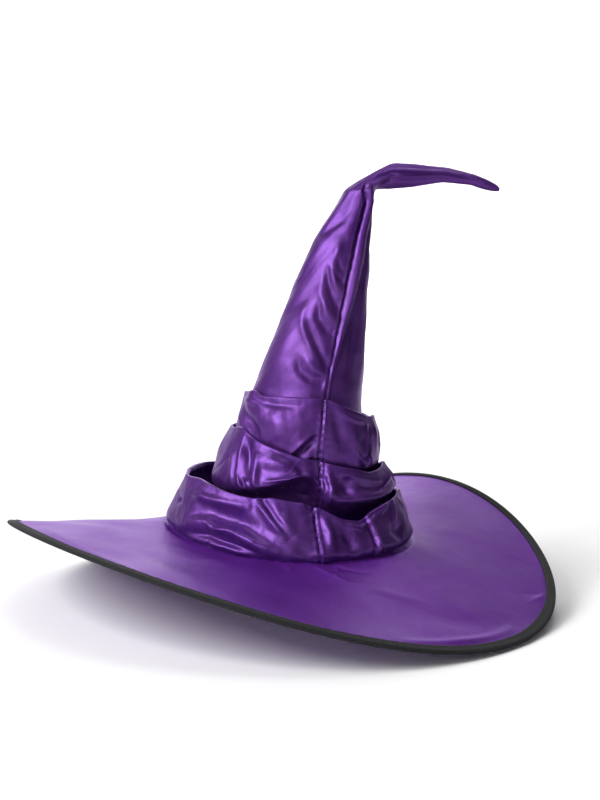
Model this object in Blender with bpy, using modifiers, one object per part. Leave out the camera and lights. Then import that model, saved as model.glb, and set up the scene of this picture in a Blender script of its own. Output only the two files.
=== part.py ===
"""Soft pointed costume hat: a satin crown that slumps in three folds over a wide brim sprung by a wire hoop.

Frame: metres, +Z up, +X the way the tip droops, -Y the side with the crown's seam. The origin is on the
surface the brim stands on, under the centre of the hoop. The hoop is a saddle, so the brim stands on its two
low points.
"""

import math

import bmesh
import bpy
from mathutils import Matrix, Vector

# Brim: outline of the hoop and of the head opening
BRIM_RADIUS = 0.215  # outer edge of the binding
OPENING_RADIUS = 0.0933  # cut edge of the brim inside the crown
OPENING_OFFSET = 0.004  # centre of the head opening from the centre of the hoop, along +X
LAND_WIDTH = 0.0107  # flat land of the brim round the opening
LAND_HEIGHT = 0.0529  # middle of the brim's thickness over the floor, at the opening's centre
LAND_TILT = math.radians(4.2)  # the land is higher on the -X side

# Rise and fall of the hoop: a twofold wave makes the saddle, three smaller ones make it uneven
HOOP_HEIGHT = 0.0383  # mean height of the hoop wire over the floor
HOOP_WAVES = (  # (waves per turn, height, direction of the crest)
    (1, 0.0066, math.radians(155.6)),
    (2, 0.0333, math.radians(43.0)),
    (3, 0.0084, math.radians(58.0)),
    (4, 0.0020, math.radians(69.4)),
)
HOOP_LOW = math.radians(-47.0)  # direction of one of the two low points

# Brim: thicknesses and edge
COVER_THICKNESS = 0.0005
STIFFENER_THICKNESS = 0.0008
LAYER_GAP = 0.0003
BINDING_WIDTH = 0.0080
BINDING_THICKNESS = 0.0005
BINDING_ROUND = 0.0012
WIRE_RADIUS = 0.0009
SLEEVE_BORE_RADIUS = 0.0012
SLEEVE_RADIUS = 0.0016
SLEEVE_LENGTH = 0.020
WIRE_END_GAP = 0.0010  # between the two ends of the wire, inside the sleeve
SLEEVE_AT = math.radians(90.0)  # direction of the joint in the wire, at the back
EDGE_GAP = 0.0003  # free space left round the sleeve inside the binding

# Crown cloth
SATIN_THICKNESS = 0.0008
INTERLINING_THICKNESS = 0.0008
CLOTH_GAP = 0.0005  # between the satin and its interlining
ROLL_RADIUS = 0.0014  # middle of the cloth where it turns over at a fold's lip
CROWN_ON_BRIM_GAP = 0.0003

# Head band and label
BAND_THICKNESS = 0.0008
BAND_HEIGHT = 0.025
BAND_GAP = 0.0007  # between the band and the brim's cut edge
BAND_LINING_GAP = 0.0003  # between the band and the lower fold's interlining
LABEL_WIDTH = 0.024
LABEL_HEIGHT = 0.016
LABEL_THICKNESS = 0.0004
LABEL_DEPTH_IN = 0.0016  # from the band's outer face to the label's middle

# Crown folds: each one is turned about its own leaning axis and stands inside the hem of the one below
CROWN_MARGIN = 0.0023  # from the brim's cut edge out to the foot of the crown
LOWER_SWELL = 0.0004  # belly over foot
LOWER_DRAW_IN = 0.0108  # foot over lip
LOWER_HEIGHT = 0.0410  # of the lip over the land
LOWER_HEM = 0.014  # depth of the cloth turned in at the lip

MIDDLE_EASE = 0.0107  # free space between the lower hem and the middle fold's belly
MIDDLE_SWELL = 0.0020
MIDDLE_DRAW_IN = 0.0055
MIDDLE_SHIFT = 0.0050  # of the foot's centre from the opening's centre, along +X
MIDDLE_SINK = 0.0210  # depth of its foot under the lower lip
MIDDLE_TILT = math.radians(9.0)
MIDDLE_HEIGHT = 0.0540
MIDDLE_HEM = 0.012

TOP_EASE = 0.0049
TOP_SWELL = 0.0010
TOP_DRAW_IN = 0.0015
TOP_SHIFT = 0.0035  # of its foot's centre from the middle fold's, along +X
TOP_SINK = 0.0163
TOP_TILT = math.radians(11.0)
TOP_HEIGHT = 0.0480
TOP_HEM = 0.010

# Upper cone and drooping tip
CONE_EASE = 0.0069
CONE_SHIFT = 0.0035  # of its foot's centre from the top fold's, along +X
CONE_SINK = 0.0121
CONE_TILT = math.radians(12.2)
CONE_NECK_RADIUS = 0.0120
CONE_NECK_HEIGHT = 0.186  # where the cone has narrowed to its neck
CONE_BULGE = 1.5  # 1 is a straight cone, more is fuller at the foot
CONE_LINING_SHARE = 0.8  # of the height to the neck
LEAN_HINGE_DEPTH = 0.0040  # under the top fold's lip
TIP_HINGE_ABOVE_NECK = 0.0075
NECK_ABOVE_HINGE = 0.006  # on the side away from the droop
NECK_BELOW_HINGE = 0.017  # on the side the tip droops to

TIP_TILT = math.radians(93.0)
TIP_EASE = 0.0011  # round the tip's root, inside the neck
TIP_END_RADIUS = 0.0022
TIP_LENGTH = 0.107
TIP_THICKNESS = 0.0006
TIP_MOUTH_RADIUS = 0.0040
TIP_BULGE = 1.3

# Thread tacks that pin the folds at the seam
TACK_LENGTH = 0.008
TACK_THREAD_RADIUS = 0.0006
TACK_GAP = 0.0004
TACK_BELOW_LIP = 0.004
SEAM_TURN = math.radians(10.0)  # the seam is this far round from the -Y side, towards +X

# Fineness of the meshes
BRIM_STEPS = 48
TURN_STEPS = 40
TIP_STEPS = 20
WALL_POINTS = 4
ROLL_POINTS = 4
MERGE = 0.0001


def make_collection(name):
    """A new collection, linked to the scene."""
    group = bpy.data.collections.new(name)
    bpy.context.scene.collection.children.link(group)
    return group


def clear_scene():
    """Remove every object of the file this runs in."""
    for item in list(bpy.data.objects):
        bpy.data.objects.remove(item, do_unlink=True)


clear_scene()
PARTS = make_collection("witch_hat")
CUTTERS = make_collection("cutters")


def finish(name, colour, roughness, metallic=0.0):
    """A plain material of one colour."""
    surface = bpy.data.materials.new(name)
    surface.use_nodes = True
    shader = surface.node_tree.nodes["Principled BSDF"]
    shader.inputs["Base Color"].default_value = (*colour, 1.0)
    shader.inputs["Roughness"].default_value = roughness
    shader.inputs["Metallic"].default_value = metallic
    return surface


SATIN = finish("purple_satin", (0.16, 0.045, 0.32), 0.35)
INTERLINING = finish("interlining", (0.72, 0.71, 0.68), 0.9)
BINDING = finish("edge_binding", (0.035, 0.035, 0.040), 0.6)
BAND = finish("head_band_ribbon", (0.03, 0.03, 0.035), 0.7)
STEEL = finish("spring_steel", (0.55, 0.56, 0.58), 0.35, 1.0)
CRIMP = finish("crimp_steel", (0.62, 0.62, 0.63), 0.3, 1.0)
LABEL = finish("label_tape", (0.85, 0.85, 0.83), 0.8)
THREAD = finish("sewing_thread", (0.13, 0.04, 0.26), 0.6)


def hoop_height(angle):
    """Height of the hoop wire over the floor: its mean height and the sum of its waves."""
    waves = (rise * math.cos(count * (angle - crest)) for count, rise, crest in HOOP_WAVES)
    return HOOP_HEIGHT + sum(waves)


LAND_RADIUS = OPENING_RADIUS + LAND_WIDTH
WIRE_RING_RADIUS = BRIM_RADIUS - BINDING_THICKNESS - EDGE_GAP - SLEEVE_RADIUS
LAYER_RADIUS = WIRE_RING_RADIUS - SLEEVE_RADIUS - EDGE_GAP
BINDING_EDGE_RADIUS = BRIM_RADIUS - BINDING_WIDTH


def hem_bore(lip_radius):
    """Inside radius of the hem that is turned in at a lip."""
    return lip_radius - 2.0 * ROLL_RADIUS - SATIN_THICKNESS


LOWER_FOOT_RADIUS = OPENING_RADIUS + CROWN_MARGIN
LOWER_LIP_RADIUS = LOWER_FOOT_RADIUS - LOWER_DRAW_IN

MIDDLE_BELLY_RADIUS = hem_bore(LOWER_LIP_RADIUS) - MIDDLE_EASE
MIDDLE_FOOT_RADIUS = MIDDLE_BELLY_RADIUS - MIDDLE_SWELL
MIDDLE_LIP_RADIUS = MIDDLE_FOOT_RADIUS - MIDDLE_DRAW_IN
MIDDLE_FOOT_X = OPENING_OFFSET + MIDDLE_SHIFT
MIDDLE_FOOT_RISE = LOWER_HEIGHT - MIDDLE_SINK

TOP_BELLY_RADIUS = hem_bore(MIDDLE_LIP_RADIUS) - TOP_EASE
TOP_FOOT_RADIUS = TOP_BELLY_RADIUS - TOP_SWELL
TOP_LIP_RADIUS = TOP_FOOT_RADIUS - TOP_DRAW_IN
TOP_FOOT_X = MIDDLE_FOOT_X + TOP_SHIFT
TOP_FOOT_RISE = MIDDLE_FOOT_RISE + MIDDLE_HEIGHT * math.cos(MIDDLE_TILT) - TOP_SINK

CONE_FOOT_RADIUS = hem_bore(TOP_LIP_RADIUS) - CONE_EASE
CONE_FOOT_X = TOP_FOOT_X + CONE_SHIFT
TOP_LIP_RISE = TOP_FOOT_RISE + TOP_HEIGHT * math.cos(TOP_TILT)
CONE_FOOT_RISE = TOP_LIP_RISE - CONE_SINK
LEAN_HINGE_RISE = TOP_LIP_RISE - LEAN_HINGE_DEPTH
TIP_HINGE_HEIGHT = CONE_NECK_HEIGHT + TIP_HINGE_ABOVE_NECK
TIP_ROOT_RADIUS = CONE_NECK_RADIUS - 0.5 * (SATIN_THICKNESS + TIP_THICKNESS) - TIP_EASE


def brim_point(radius, angle, rise=0.0):
    """Point of the brim: straight from the tilted land to the hoop, and level with the land inside it."""
    share = max(0.0, (radius - LAND_RADIUS) / (WIRE_RING_RADIUS - LAND_RADIUS))
    centre = OPENING_OFFSET * (1.0 - share)
    x = centre + radius * math.cos(angle)
    y = radius * math.sin(angle)
    land = LAND_HEIGHT - math.tan(LAND_TILT) * (x - OPENING_OFFSET)
    return Vector((x, y, land * (1.0 - share) + hoop_height(angle) * share + rise))


def brim_angles():
    """Directions of the brim's facets, with a flat one at each low point of the hoop."""
    step = 2.0 * math.pi / BRIM_STEPS
    return [HOOP_LOW + step * (index + 0.5) for index in range(BRIM_STEPS)]


def add_object(name, mesh, surface, group=None):
    """Link a mesh or a curve as one named object with one material."""
    mesh.name = name
    mesh.materials.append(surface)
    item = bpy.data.objects.new(name, mesh)
    (group or PARTS).objects.link(item)
    return item


def shade(mesh):
    """Smooth shading with sharp edges where the surface turns by more than 40 degrees."""
    mesh.shade_smooth()
    mesh.set_sharp_from_angle(angle=math.radians(40.0))


def brim_ring(name, section, surface):
    """A closed section of (radius, rise) points carried round the saddle.

    Every facet is split from its inner corner at one step to its outer corner at the next, so that layers
    that lie on each other have the same creases.
    """
    build = bmesh.new()
    rings = [[build.verts.new(brim_point(r, a, z)) for r, z in section] for a in brim_angles()]
    count = len(section)
    for here, after in zip(rings, rings[1:] + rings[:1]):
        for k in range(count):
            n = (k + 1) % count
            if section[k][0] <= section[n][0]:
                build.faces.new((here[k], here[n], after[n]))
                build.faces.new((here[k], after[n], after[k]))
            else:
                build.faces.new((here[k], here[n], after[k]))
                build.faces.new((here[n], after[n], after[k]))
    bmesh.ops.recalc_face_normals(build, faces=build.faces)
    mesh = bpy.data.meshes.new(name)
    build.to_mesh(mesh)
    build.free()
    shade(mesh)
    return add_object(name, mesh, surface)


def brim_layer(name, middle, thickness, surface):
    """One flat layer of the brim, its middle at a given rise."""
    middle_radius = 0.5 * (LAND_RADIUS + BINDING_EDGE_RADIUS)
    radii = [OPENING_RADIUS, LAND_RADIUS, middle_radius, BINDING_EDGE_RADIUS, LAYER_RADIUS]
    low = [(r, middle - 0.5 * thickness) for r in radii]
    high = [(r, middle + 0.5 * thickness) for r in reversed(radii)]
    return brim_ring(name, low + high, surface)


STIFFENER_TOP = 0.5 * STIFFENER_THICKNESS
COVER_MIDDLE = STIFFENER_TOP + LAYER_GAP + 0.5 * COVER_THICKNESS
STACK_TOP = COVER_MIDDLE + 0.5 * COVER_THICKNESS
BINDING_INSIDE = max(STACK_TOP, SLEEVE_RADIUS) + EDGE_GAP
BINDING_OUTSIDE = BINDING_INSIDE + BINDING_THICKNESS


def make_binding():
    """The folded tape round the brim's edge: a U section, open towards the crown."""
    edge = BRIM_RADIUS
    inner = BRIM_RADIUS - BINDING_THICKNESS
    outside = [
        (BINDING_EDGE_RADIUS, BINDING_OUTSIDE),
        (edge - BINDING_ROUND, BINDING_OUTSIDE),
        (edge, BINDING_OUTSIDE - BINDING_ROUND),
    ]
    inside = [
        (inner, BINDING_OUTSIDE - BINDING_ROUND),
        (edge - BINDING_ROUND, BINDING_INSIDE),
        (BINDING_EDGE_RADIUS, BINDING_INSIDE),
    ]
    lower_outside = [(r, -z) for r, z in reversed(outside)]
    lower_inside = [(r, -z) for r, z in reversed(inside)]
    section = outside + lower_outside + lower_inside + inside
    return brim_ring("brim_edge_binding", section, BINDING)


def polyline(name, points, radius, bevel_resolution=1):
    """A tube along straight stretches, with closed ends."""
    curve = bpy.data.curves.new(name, "CURVE")
    curve.dimensions = "3D"
    curve.bevel_depth = radius
    curve.bevel_resolution = bevel_resolution
    curve.use_fill_caps = True
    spline = curve.splines.new("POLY")
    spline.points.add(len(points) - 1)
    for knot, place in zip(spline.points, points):
        knot.co = (*place, 1.0)
    return curve


def hoop_joint():
    """The straight stretch of the hoop that holds the sleeve: its two ends, in order round the hoop."""
    angles = brim_angles()
    turned = [(angle - SLEEVE_AT) % (2.0 * math.pi) for angle in angles]
    first = turned.index(min(turned))
    return angles, first


def make_hoop():
    """The spring wire: one open ring whose two ends meet in the sleeve."""
    angles, first = hoop_joint()
    around = [brim_point(WIRE_RING_RADIUS, a) for a in angles[first:] + angles[:first]]
    middle = 0.5 * (around[0] + around[-1])
    along = (around[0] - around[-1]).normalized()
    start = middle + along * (0.5 * WIRE_END_GAP)
    end = middle - along * (0.5 * WIRE_END_GAP)
    wire = polyline("brim_hoop_wire", [start] + around + [end], WIRE_RADIUS)
    add_object("brim_hoop_wire", wire, STEEL)
    return middle, along


def make_sleeve(middle, along):
    """The crimped sleeve over the wire's two ends: a straight tube, open at both ends."""
    wall = SLEEVE_RADIUS - SLEEVE_BORE_RADIUS
    bpy.ops.mesh.primitive_cylinder_add(
        vertices=12, radius=SLEEVE_RADIUS - 0.5 * wall, depth=SLEEVE_LENGTH, end_fill_type="NOTHING"
    )
    sleeve = bpy.context.object
    for group in sleeve.users_collection:
        group.objects.unlink(sleeve)
    PARTS.objects.link(sleeve)
    sleeve.name = "hoop_joining_sleeve"
    sleeve.data.name = "hoop_joining_sleeve"
    sleeve.data.materials.append(CRIMP)
    sleeve.location = middle
    sleeve.rotation_euler = along.to_track_quat("Z", "Y").to_euler()
    shade(sleeve.data)
    thicken(sleeve, wall)
    return sleeve


def thicken(item, thickness):
    """Give an open surface its wall, half to each side."""
    wall = item.modifiers.new("wall", "SOLIDIFY")
    wall.thickness = thickness
    wall.offset = 0.0
    wall.use_even_offset = True


def turned(name, profile, surface, thickness, steps=TURN_STEPS):
    """A shell turned about the object's own Z axis from a line of (radius, height) points."""
    mesh = bpy.data.meshes.new(name)
    rows = range(len(profile) - 1)
    mesh.from_pydata([(r, 0.0, z) for r, z in profile], [(k, k + 1) for k in rows], [])
    item = add_object(name, mesh, surface)
    turn = item.modifiers.new("turn", "SCREW")
    turn.steps = steps
    turn.render_steps = steps
    turn.use_merge_vertices = True
    turn.merge_threshold = MERGE
    thicken(item, thickness)
    return item


def blend(low, high, share):
    """The value a given share of the way from low to high."""
    return low + (high - low) * share


def wall_line(foot, belly, lip, bottom, top):
    """A fold's outer wall, from its foot to its lip, through the belly halfway up."""
    line = []
    for k in range(WALL_POINTS):
        share = k / (WALL_POINTS - 1)
        straight = blend(foot, lip, share)
        swell = 4.0 * share * (1.0 - share) * (belly - 0.5 * (foot + lip))
        line.append((straight + swell, blend(bottom, top, share)))
    return line


def fold_profile(wall, hem_level):
    """A fold: up the outer wall, over the rolled lip, and down the turned-in hem."""
    line = list(wall)
    outer, level = wall[-1]
    for k in range(1, ROLL_POINTS + 1):
        angle = math.pi * k / ROLL_POINTS
        across = outer - ROLL_RADIUS + ROLL_RADIUS * math.cos(angle)
        line.append((across, level + ROLL_RADIUS * math.sin(angle)))
    line.append((outer - 2.0 * ROLL_RADIUS, hem_level))
    return line


def radius_at(line, level):
    """Radius of a line of (radius, height) points at a level between two of them."""
    for (low_radius, low), (high_radius, high) in zip(line, line[1:]):
        if level <= high:
            break
    return blend(low_radius, high_radius, (level - low) / (high - low))


def steepest(line):
    """How much longer a line of (radius, height) points is than its height, where it leans most."""
    pairs = zip(line, line[1:])
    return max(math.hypot(b[0] - a[0], b[1] - a[1]) / (b[1] - a[1]) for a, b in pairs)


def lining_profile(wall, end):
    """The interlining of a fold: inside its outer wall, and ending under the hem."""
    inset = steepest(wall) * (0.5 * (SATIN_THICKNESS + INTERLINING_THICKNESS) + CLOTH_GAP)
    line = [(radius - inset, height) for radius, height in wall if height < end]
    line.append((radius_at(wall, end) - inset, end))
    return line


def frame_empty(name, place, tilt, parent=None):
    """An empty on a body's joint, leaning with the body."""
    empty = bpy.data.objects.new(name, None)
    PARTS.objects.link(empty)
    empty.location = place
    empty.rotation_euler = (0.0, tilt, 0.0)
    if parent:
        attach(empty, parent)
    return empty


def attach(child, parent):
    """Parent an object where it stands."""
    bpy.context.view_layer.update()
    child.parent = parent
    child.matrix_parent_inverse = parent.matrix_world.inverted()


def place(item, spot, tilt, parent):
    """Stand an object on its own leaning axis and tie it to its body."""
    item.location = spot
    item.rotation_euler = (0.0, tilt, 0.0)
    attach(item, parent)


def over_land(x, rise):
    """A point of the crown's middle plane, at a rise over the opening's centre."""
    return Vector((x, 0.0, LAND_HEIGHT + rise))


def make_tack(name, wall, level, spot, tilt, parent):
    """A bar of thread across the seam, just under a fold's lip."""
    outside = radius_at(wall, level - TACK_THREAD_RADIUS) + 0.5 * SATIN_THICKNESS * steepest(wall)
    away = outside + TACK_THREAD_RADIUS + TACK_GAP
    half = 0.5 * TACK_LENGTH
    swell = half * half / (2.0 * away)
    points = [(-half, swell - away, level), (0.0, -away, level), (half, swell - away, level)]
    turn = Matrix.Rotation(SEAM_TURN, 3, "Z")
    item = add_object(name, polyline(name, [turn @ Vector(p) for p in points], TACK_THREAD_RADIUS), THREAD)
    place(item, spot, tilt, parent)


def make_fold(prefix, sizes, spot, tilt, bottom, parent):
    """One fold of the crown: its satin, its interlining and the tack that pins it."""
    foot, belly, lip, height, hem = sizes
    wall = wall_line(foot, belly, lip - 0.5 * SATIN_THICKNESS, bottom, height - ROLL_RADIUS)
    hem_level = height - hem
    satin = turned(f"crown_{prefix}_tier", fold_profile(wall, hem_level), SATIN, SATIN_THICKNESS)
    lining_line = lining_profile(wall, hem_level - 2.0 * ROLL_RADIUS)
    lining = turned(f"{prefix}_tier_interlining", lining_line, INTERLINING, INTERLINING_THICKNESS)
    place(satin, spot, tilt, parent)
    place(lining, spot, tilt, parent)
    make_tack(f"{prefix}_tier_tack", wall, height - TACK_BELOW_LIP, spot, tilt, parent)
    return lining_line


def cone_radius(height):
    """Middle radius of the upper cone: fuller at its foot than a straight cone, and level along its neck."""
    share = min(1.0, height / CONE_NECK_HEIGHT)
    return CONE_FOOT_RADIUS - (CONE_FOOT_RADIUS - CONE_NECK_RADIUS) * share**CONE_BULGE


def cone_profile(inset, top):
    """The upper cone's middle line from its foot to a given height."""
    heights = [CONE_NECK_HEIGHT * share for share in (0.0, 0.25, 0.5, 0.7, 0.85, 1.0)]
    return [(cone_radius(z) - inset, z) for z in heights if z < top] + [(cone_radius(top) - inset, top)]


def make_cone(frame):
    """The upper cone, with its neck cut away on the side the tip droops to."""
    spot = over_land(CONE_FOOT_X, CONE_FOOT_RISE)
    satin = turned(
        "crown_upper_cone", cone_profile(0.0, TIP_HINGE_HEIGHT + NECK_ABOVE_HINGE), SATIN, SATIN_THICKNESS
    )
    inset = 0.5 * (SATIN_THICKNESS + INTERLINING_THICKNESS) + CLOTH_GAP
    lining_top = CONE_LINING_SHARE * CONE_NECK_HEIGHT
    lining = turned(
        "upper_cone_interlining", cone_profile(inset, lining_top), INTERLINING, INTERLINING_THICKNESS
    )
    place(satin, spot, CONE_TILT, frame)
    place(lining, spot, CONE_TILT, frame)
    cut = satin.modifiers.new("neck_cut", "BOOLEAN")
    cut.operation = "DIFFERENCE"
    cut.object = neck_cutter(spot, frame)


def neck_cutter(spot, frame):
    """A block whose lower face slopes across the neck, low on the side the tip droops to."""
    width = 2.0 * (CONE_NECK_RADIUS + 0.5 * SATIN_THICKNESS)
    fall = NECK_ABOVE_HINGE + NECK_BELOW_HINGE
    slope = math.atan2(fall, width)
    size = 4.0 * width
    bpy.ops.mesh.primitive_cube_add(size=size)
    block = bpy.context.object
    for group in block.users_collection:
        group.objects.unlink(block)
    CUTTERS.objects.link(block)
    block.name = "neck_cutter"
    block.hide_render = True
    block.display_type = "WIRE"
    axis = Vector((math.sin(CONE_TILT), 0.0, math.cos(CONE_TILT)))
    tilt = CONE_TILT + slope
    normal = Vector((math.sin(tilt), 0.0, math.cos(tilt)))
    middle_height = TIP_HINGE_HEIGHT + 0.5 * (NECK_ABOVE_HINGE - NECK_BELOW_HINGE)
    place(block, spot + axis * middle_height + normal * (0.5 * size), tilt, frame)
    return block


def tip_profile():
    """The tip: a round root about the hinge, then a taper to a small rounded end."""
    line = []
    first = math.acos(-math.sqrt(1.0 - (TIP_MOUTH_RADIUS / TIP_ROOT_RADIUS) ** 2))
    for k in range(4):
        angle = blend(first, 0.5 * math.pi, k / 3.0)
        line.append((TIP_ROOT_RADIUS * math.sin(angle), TIP_ROOT_RADIUS * math.cos(angle)))
    taper_length = TIP_LENGTH - TIP_END_RADIUS
    for k in range(1, 6):
        share = k / 5.0
        drop = (TIP_ROOT_RADIUS - TIP_END_RADIUS) * share**TIP_BULGE
        line.append((TIP_ROOT_RADIUS - drop, taper_length * share))
    line.append((TIP_END_RADIUS * math.sqrt(0.5), taper_length + TIP_END_RADIUS * math.sqrt(0.5)))
    line.append((0.0, TIP_LENGTH))
    return line


def make_tip(frame, hinge):
    """The drooping tip of the crown, open at its root."""
    tip = turned("crown_tip", tip_profile(), SATIN, TIP_THICKNESS, TIP_STEPS)
    place(tip, hinge, TIP_TILT, frame)


def room_inside(lining, top):
    """Least inside radius of an interlining, from its foot up to a level."""
    half = 0.5 * INTERLINING_THICKNESS * steepest(lining)
    return min([radius for radius, level in lining if level <= top] + [radius_at(lining, top)]) - half


def make_head_band(frame, lining):
    """The ribbon inside the opening and the lower fold, and the blank label sewn to it at the back."""
    top = BAND_HEIGHT - STACK_TOP
    in_opening = OPENING_RADIUS * math.cos(LAND_TILT) - BAND_GAP
    outside = min(in_opening, room_inside(lining, top) - BAND_LINING_GAP)
    middle = outside - 0.5 * BAND_THICKNESS
    wall = [(middle, top), (middle, -STACK_TOP)]
    band = turned("head_band", wall, BAND, BAND_THICKNESS)
    place(band, over_land(OPENING_OFFSET, 0.0), LAND_TILT, frame)
    bpy.ops.mesh.primitive_cube_add(size=1.0)
    label = bpy.context.object
    for group in label.users_collection:
        group.objects.unlink(label)
    PARTS.objects.link(label)
    label.name = "care_label"
    label.data.name = "care_label"
    label.data.materials.append(LABEL)
    for corner in label.data.vertices:
        corner.co.x *= LABEL_WIDTH
        corner.co.y = corner.co.y * LABEL_THICKNESS + outside - LABEL_DEPTH_IN - label_bow(outside)
        corner.co.z = (corner.co.z + 0.5) * LABEL_HEIGHT
    place(label, over_land(OPENING_OFFSET, 0.0), LAND_TILT, frame)


def label_bow(radius):
    """How far a flat label stands off a round band at its middle."""
    half = 0.5 * LABEL_WIDTH
    return radius - math.sqrt(radius * radius - half * half)


def make_brim(frame):
    """The three layers of the brim, the wire hoop and its sleeve, and the binding."""
    pieces = [
        brim_layer("brim_under_cover", -COVER_MIDDLE, COVER_THICKNESS, SATIN),
        brim_layer("brim_interlining", 0.0, STIFFENER_THICKNESS, INTERLINING),
        brim_layer("brim_top_cover", COVER_MIDDLE, COVER_THICKNESS, SATIN),
        make_binding(),
    ]
    middle, along = make_hoop()
    pieces.append(bpy.data.objects["brim_hoop_wire"])
    pieces.append(make_sleeve(middle, along))
    for piece in pieces:
        attach(piece, frame)


def main():
    """Build the hat from the floor up, each body on the one under it."""
    brim = frame_empty("brim_frame", (0.0, 0.0, 0.0), 0.0)
    middle = frame_empty("middle_tier_frame", over_land(MIDDLE_FOOT_X, MIDDLE_FOOT_RISE), MIDDLE_TILT, brim)
    top = frame_empty("top_tier_frame", over_land(TOP_FOOT_X, TOP_FOOT_RISE), TOP_TILT, middle)
    cone_foot = over_land(CONE_FOOT_X, CONE_FOOT_RISE)
    axis = Vector((math.sin(CONE_TILT), 0.0, math.cos(CONE_TILT)))
    lean_length = (LEAN_HINGE_RISE - CONE_FOOT_RISE) / math.cos(CONE_TILT)
    cone = frame_empty("upper_cone_frame", cone_foot + axis * lean_length, CONE_TILT, top)
    hinge = cone_foot + axis * TIP_HINGE_HEIGHT
    tip = frame_empty("tip_frame", hinge, TIP_TILT, cone)

    make_brim(brim)
    lower_belly = LOWER_FOOT_RADIUS + LOWER_SWELL
    lower_sizes = (LOWER_FOOT_RADIUS, lower_belly, LOWER_LIP_RADIUS, LOWER_HEIGHT, LOWER_HEM)
    lower_bottom = STACK_TOP + CROWN_ON_BRIM_GAP
    lower_lining = make_fold(
        "lower", lower_sizes, over_land(OPENING_OFFSET, 0.0), LAND_TILT, lower_bottom, brim
    )
    make_head_band(brim, lower_lining)
    middle_sizes = (MIDDLE_FOOT_RADIUS, MIDDLE_BELLY_RADIUS, MIDDLE_LIP_RADIUS, MIDDLE_HEIGHT, MIDDLE_HEM)
    make_fold("middle", middle_sizes, over_land(MIDDLE_FOOT_X, MIDDLE_FOOT_RISE), MIDDLE_TILT, 0.0, middle)
    top_sizes = (TOP_FOOT_RADIUS, TOP_BELLY_RADIUS, TOP_LIP_RADIUS, TOP_HEIGHT, TOP_HEM)
    make_fold("top", top_sizes, over_land(TOP_FOOT_X, TOP_FOOT_RISE), TOP_TILT, 0.0, top)
    make_cone(cone)
    make_tip(tip, hinge)


main()
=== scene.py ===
"""Looks of a soft pointed costume hat: satin crown slumped in three folds over a wide bound brim on a wire hoop.

Everything is in metres in the frame's own axes: +X is the way the tip droops, -Y is the side with the crown's
seam, +Z is up and the brim stands on z = 0.
"""

import logging
import math
from dataclasses import dataclass
from enum import Enum
from typing import ClassVar

import bmesh
import bpy
import numpy as np
from mathutils import Matrix, Vector


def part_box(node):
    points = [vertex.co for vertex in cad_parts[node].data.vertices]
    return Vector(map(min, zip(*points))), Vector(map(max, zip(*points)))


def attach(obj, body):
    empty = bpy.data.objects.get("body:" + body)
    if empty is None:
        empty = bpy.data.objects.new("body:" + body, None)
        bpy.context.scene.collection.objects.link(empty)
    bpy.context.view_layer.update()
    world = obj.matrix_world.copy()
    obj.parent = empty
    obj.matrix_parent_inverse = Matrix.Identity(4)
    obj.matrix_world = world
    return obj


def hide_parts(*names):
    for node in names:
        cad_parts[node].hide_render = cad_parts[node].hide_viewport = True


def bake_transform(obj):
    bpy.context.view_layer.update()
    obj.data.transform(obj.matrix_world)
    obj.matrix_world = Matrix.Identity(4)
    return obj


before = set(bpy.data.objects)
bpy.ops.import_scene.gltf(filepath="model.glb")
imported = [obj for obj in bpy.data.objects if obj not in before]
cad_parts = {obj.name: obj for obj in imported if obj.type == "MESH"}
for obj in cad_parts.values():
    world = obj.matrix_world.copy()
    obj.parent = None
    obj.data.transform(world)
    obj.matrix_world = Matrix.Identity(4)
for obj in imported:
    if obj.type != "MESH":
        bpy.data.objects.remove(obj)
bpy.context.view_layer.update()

LOG = logging.getLogger("witch_hat")
MM = 0.001

# Shared form of the brim, as the frame has it
HOOP_RADIUS = 0.2130
EDGE_RADIUS = 0.2150
OPENING_RADIUS = 0.0933
CROWN_RADIUS = 0.0960
CROWN_CENTRE_X = 0.0048
HOOP_HEIGHT = 0.0383
HOOP_WAVES = (  # (waves per turn, height, direction of the crest in degrees)
    (1, 0.0066, 155.6),
    (2, 0.0333, 43.0),
    (3, 0.0084, 58.0),
    (4, 0.0020, 69.4),
)
SEAM_ANGLE = -76.5  # degrees round from +X, where the crown's seam meets the brim
SLEEVE_ANGLE = 91.9  # where the hoop's two ends meet in their sleeve

# Shared by several pieces
SATIN_CLOTH = 0.00035
STIFFENING = 0.0005
THREAD_RADIUS = 0.00024
MERGE_WITHIN = 1e-6


class Lay(Enum):
    """How a crease stands on the cloth."""

    SOFT = "soft"
    SHARP = "sharp"
    PLEAT = "pleat"  # lapped: up on the left of its line, down on the right


@dataclass(frozen=True)
class Crease:
    """A crease through two or more (direction in degrees, height in mm) places, positive height standing out."""

    path: tuple[tuple[float, float], ...]
    width: float
    height: float
    lay: Lay = Lay.SOFT


def soft(width: float, height: float, *path: tuple[float, float]) -> Crease:
    """A rounded fold or hollow along a path."""
    return Crease(path, width, height)


def sharp(width: float, height: float, *path: tuple[float, float]) -> Crease:
    """A crease with a sharp line along a path."""
    return Crease(path, width, height, Lay.SHARP)


def pleat(width: float, height: float, *path: tuple[float, float]) -> Crease:
    """A lapped crease along a path."""
    return Crease(path, width, height, Lay.PLEAT)


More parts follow.
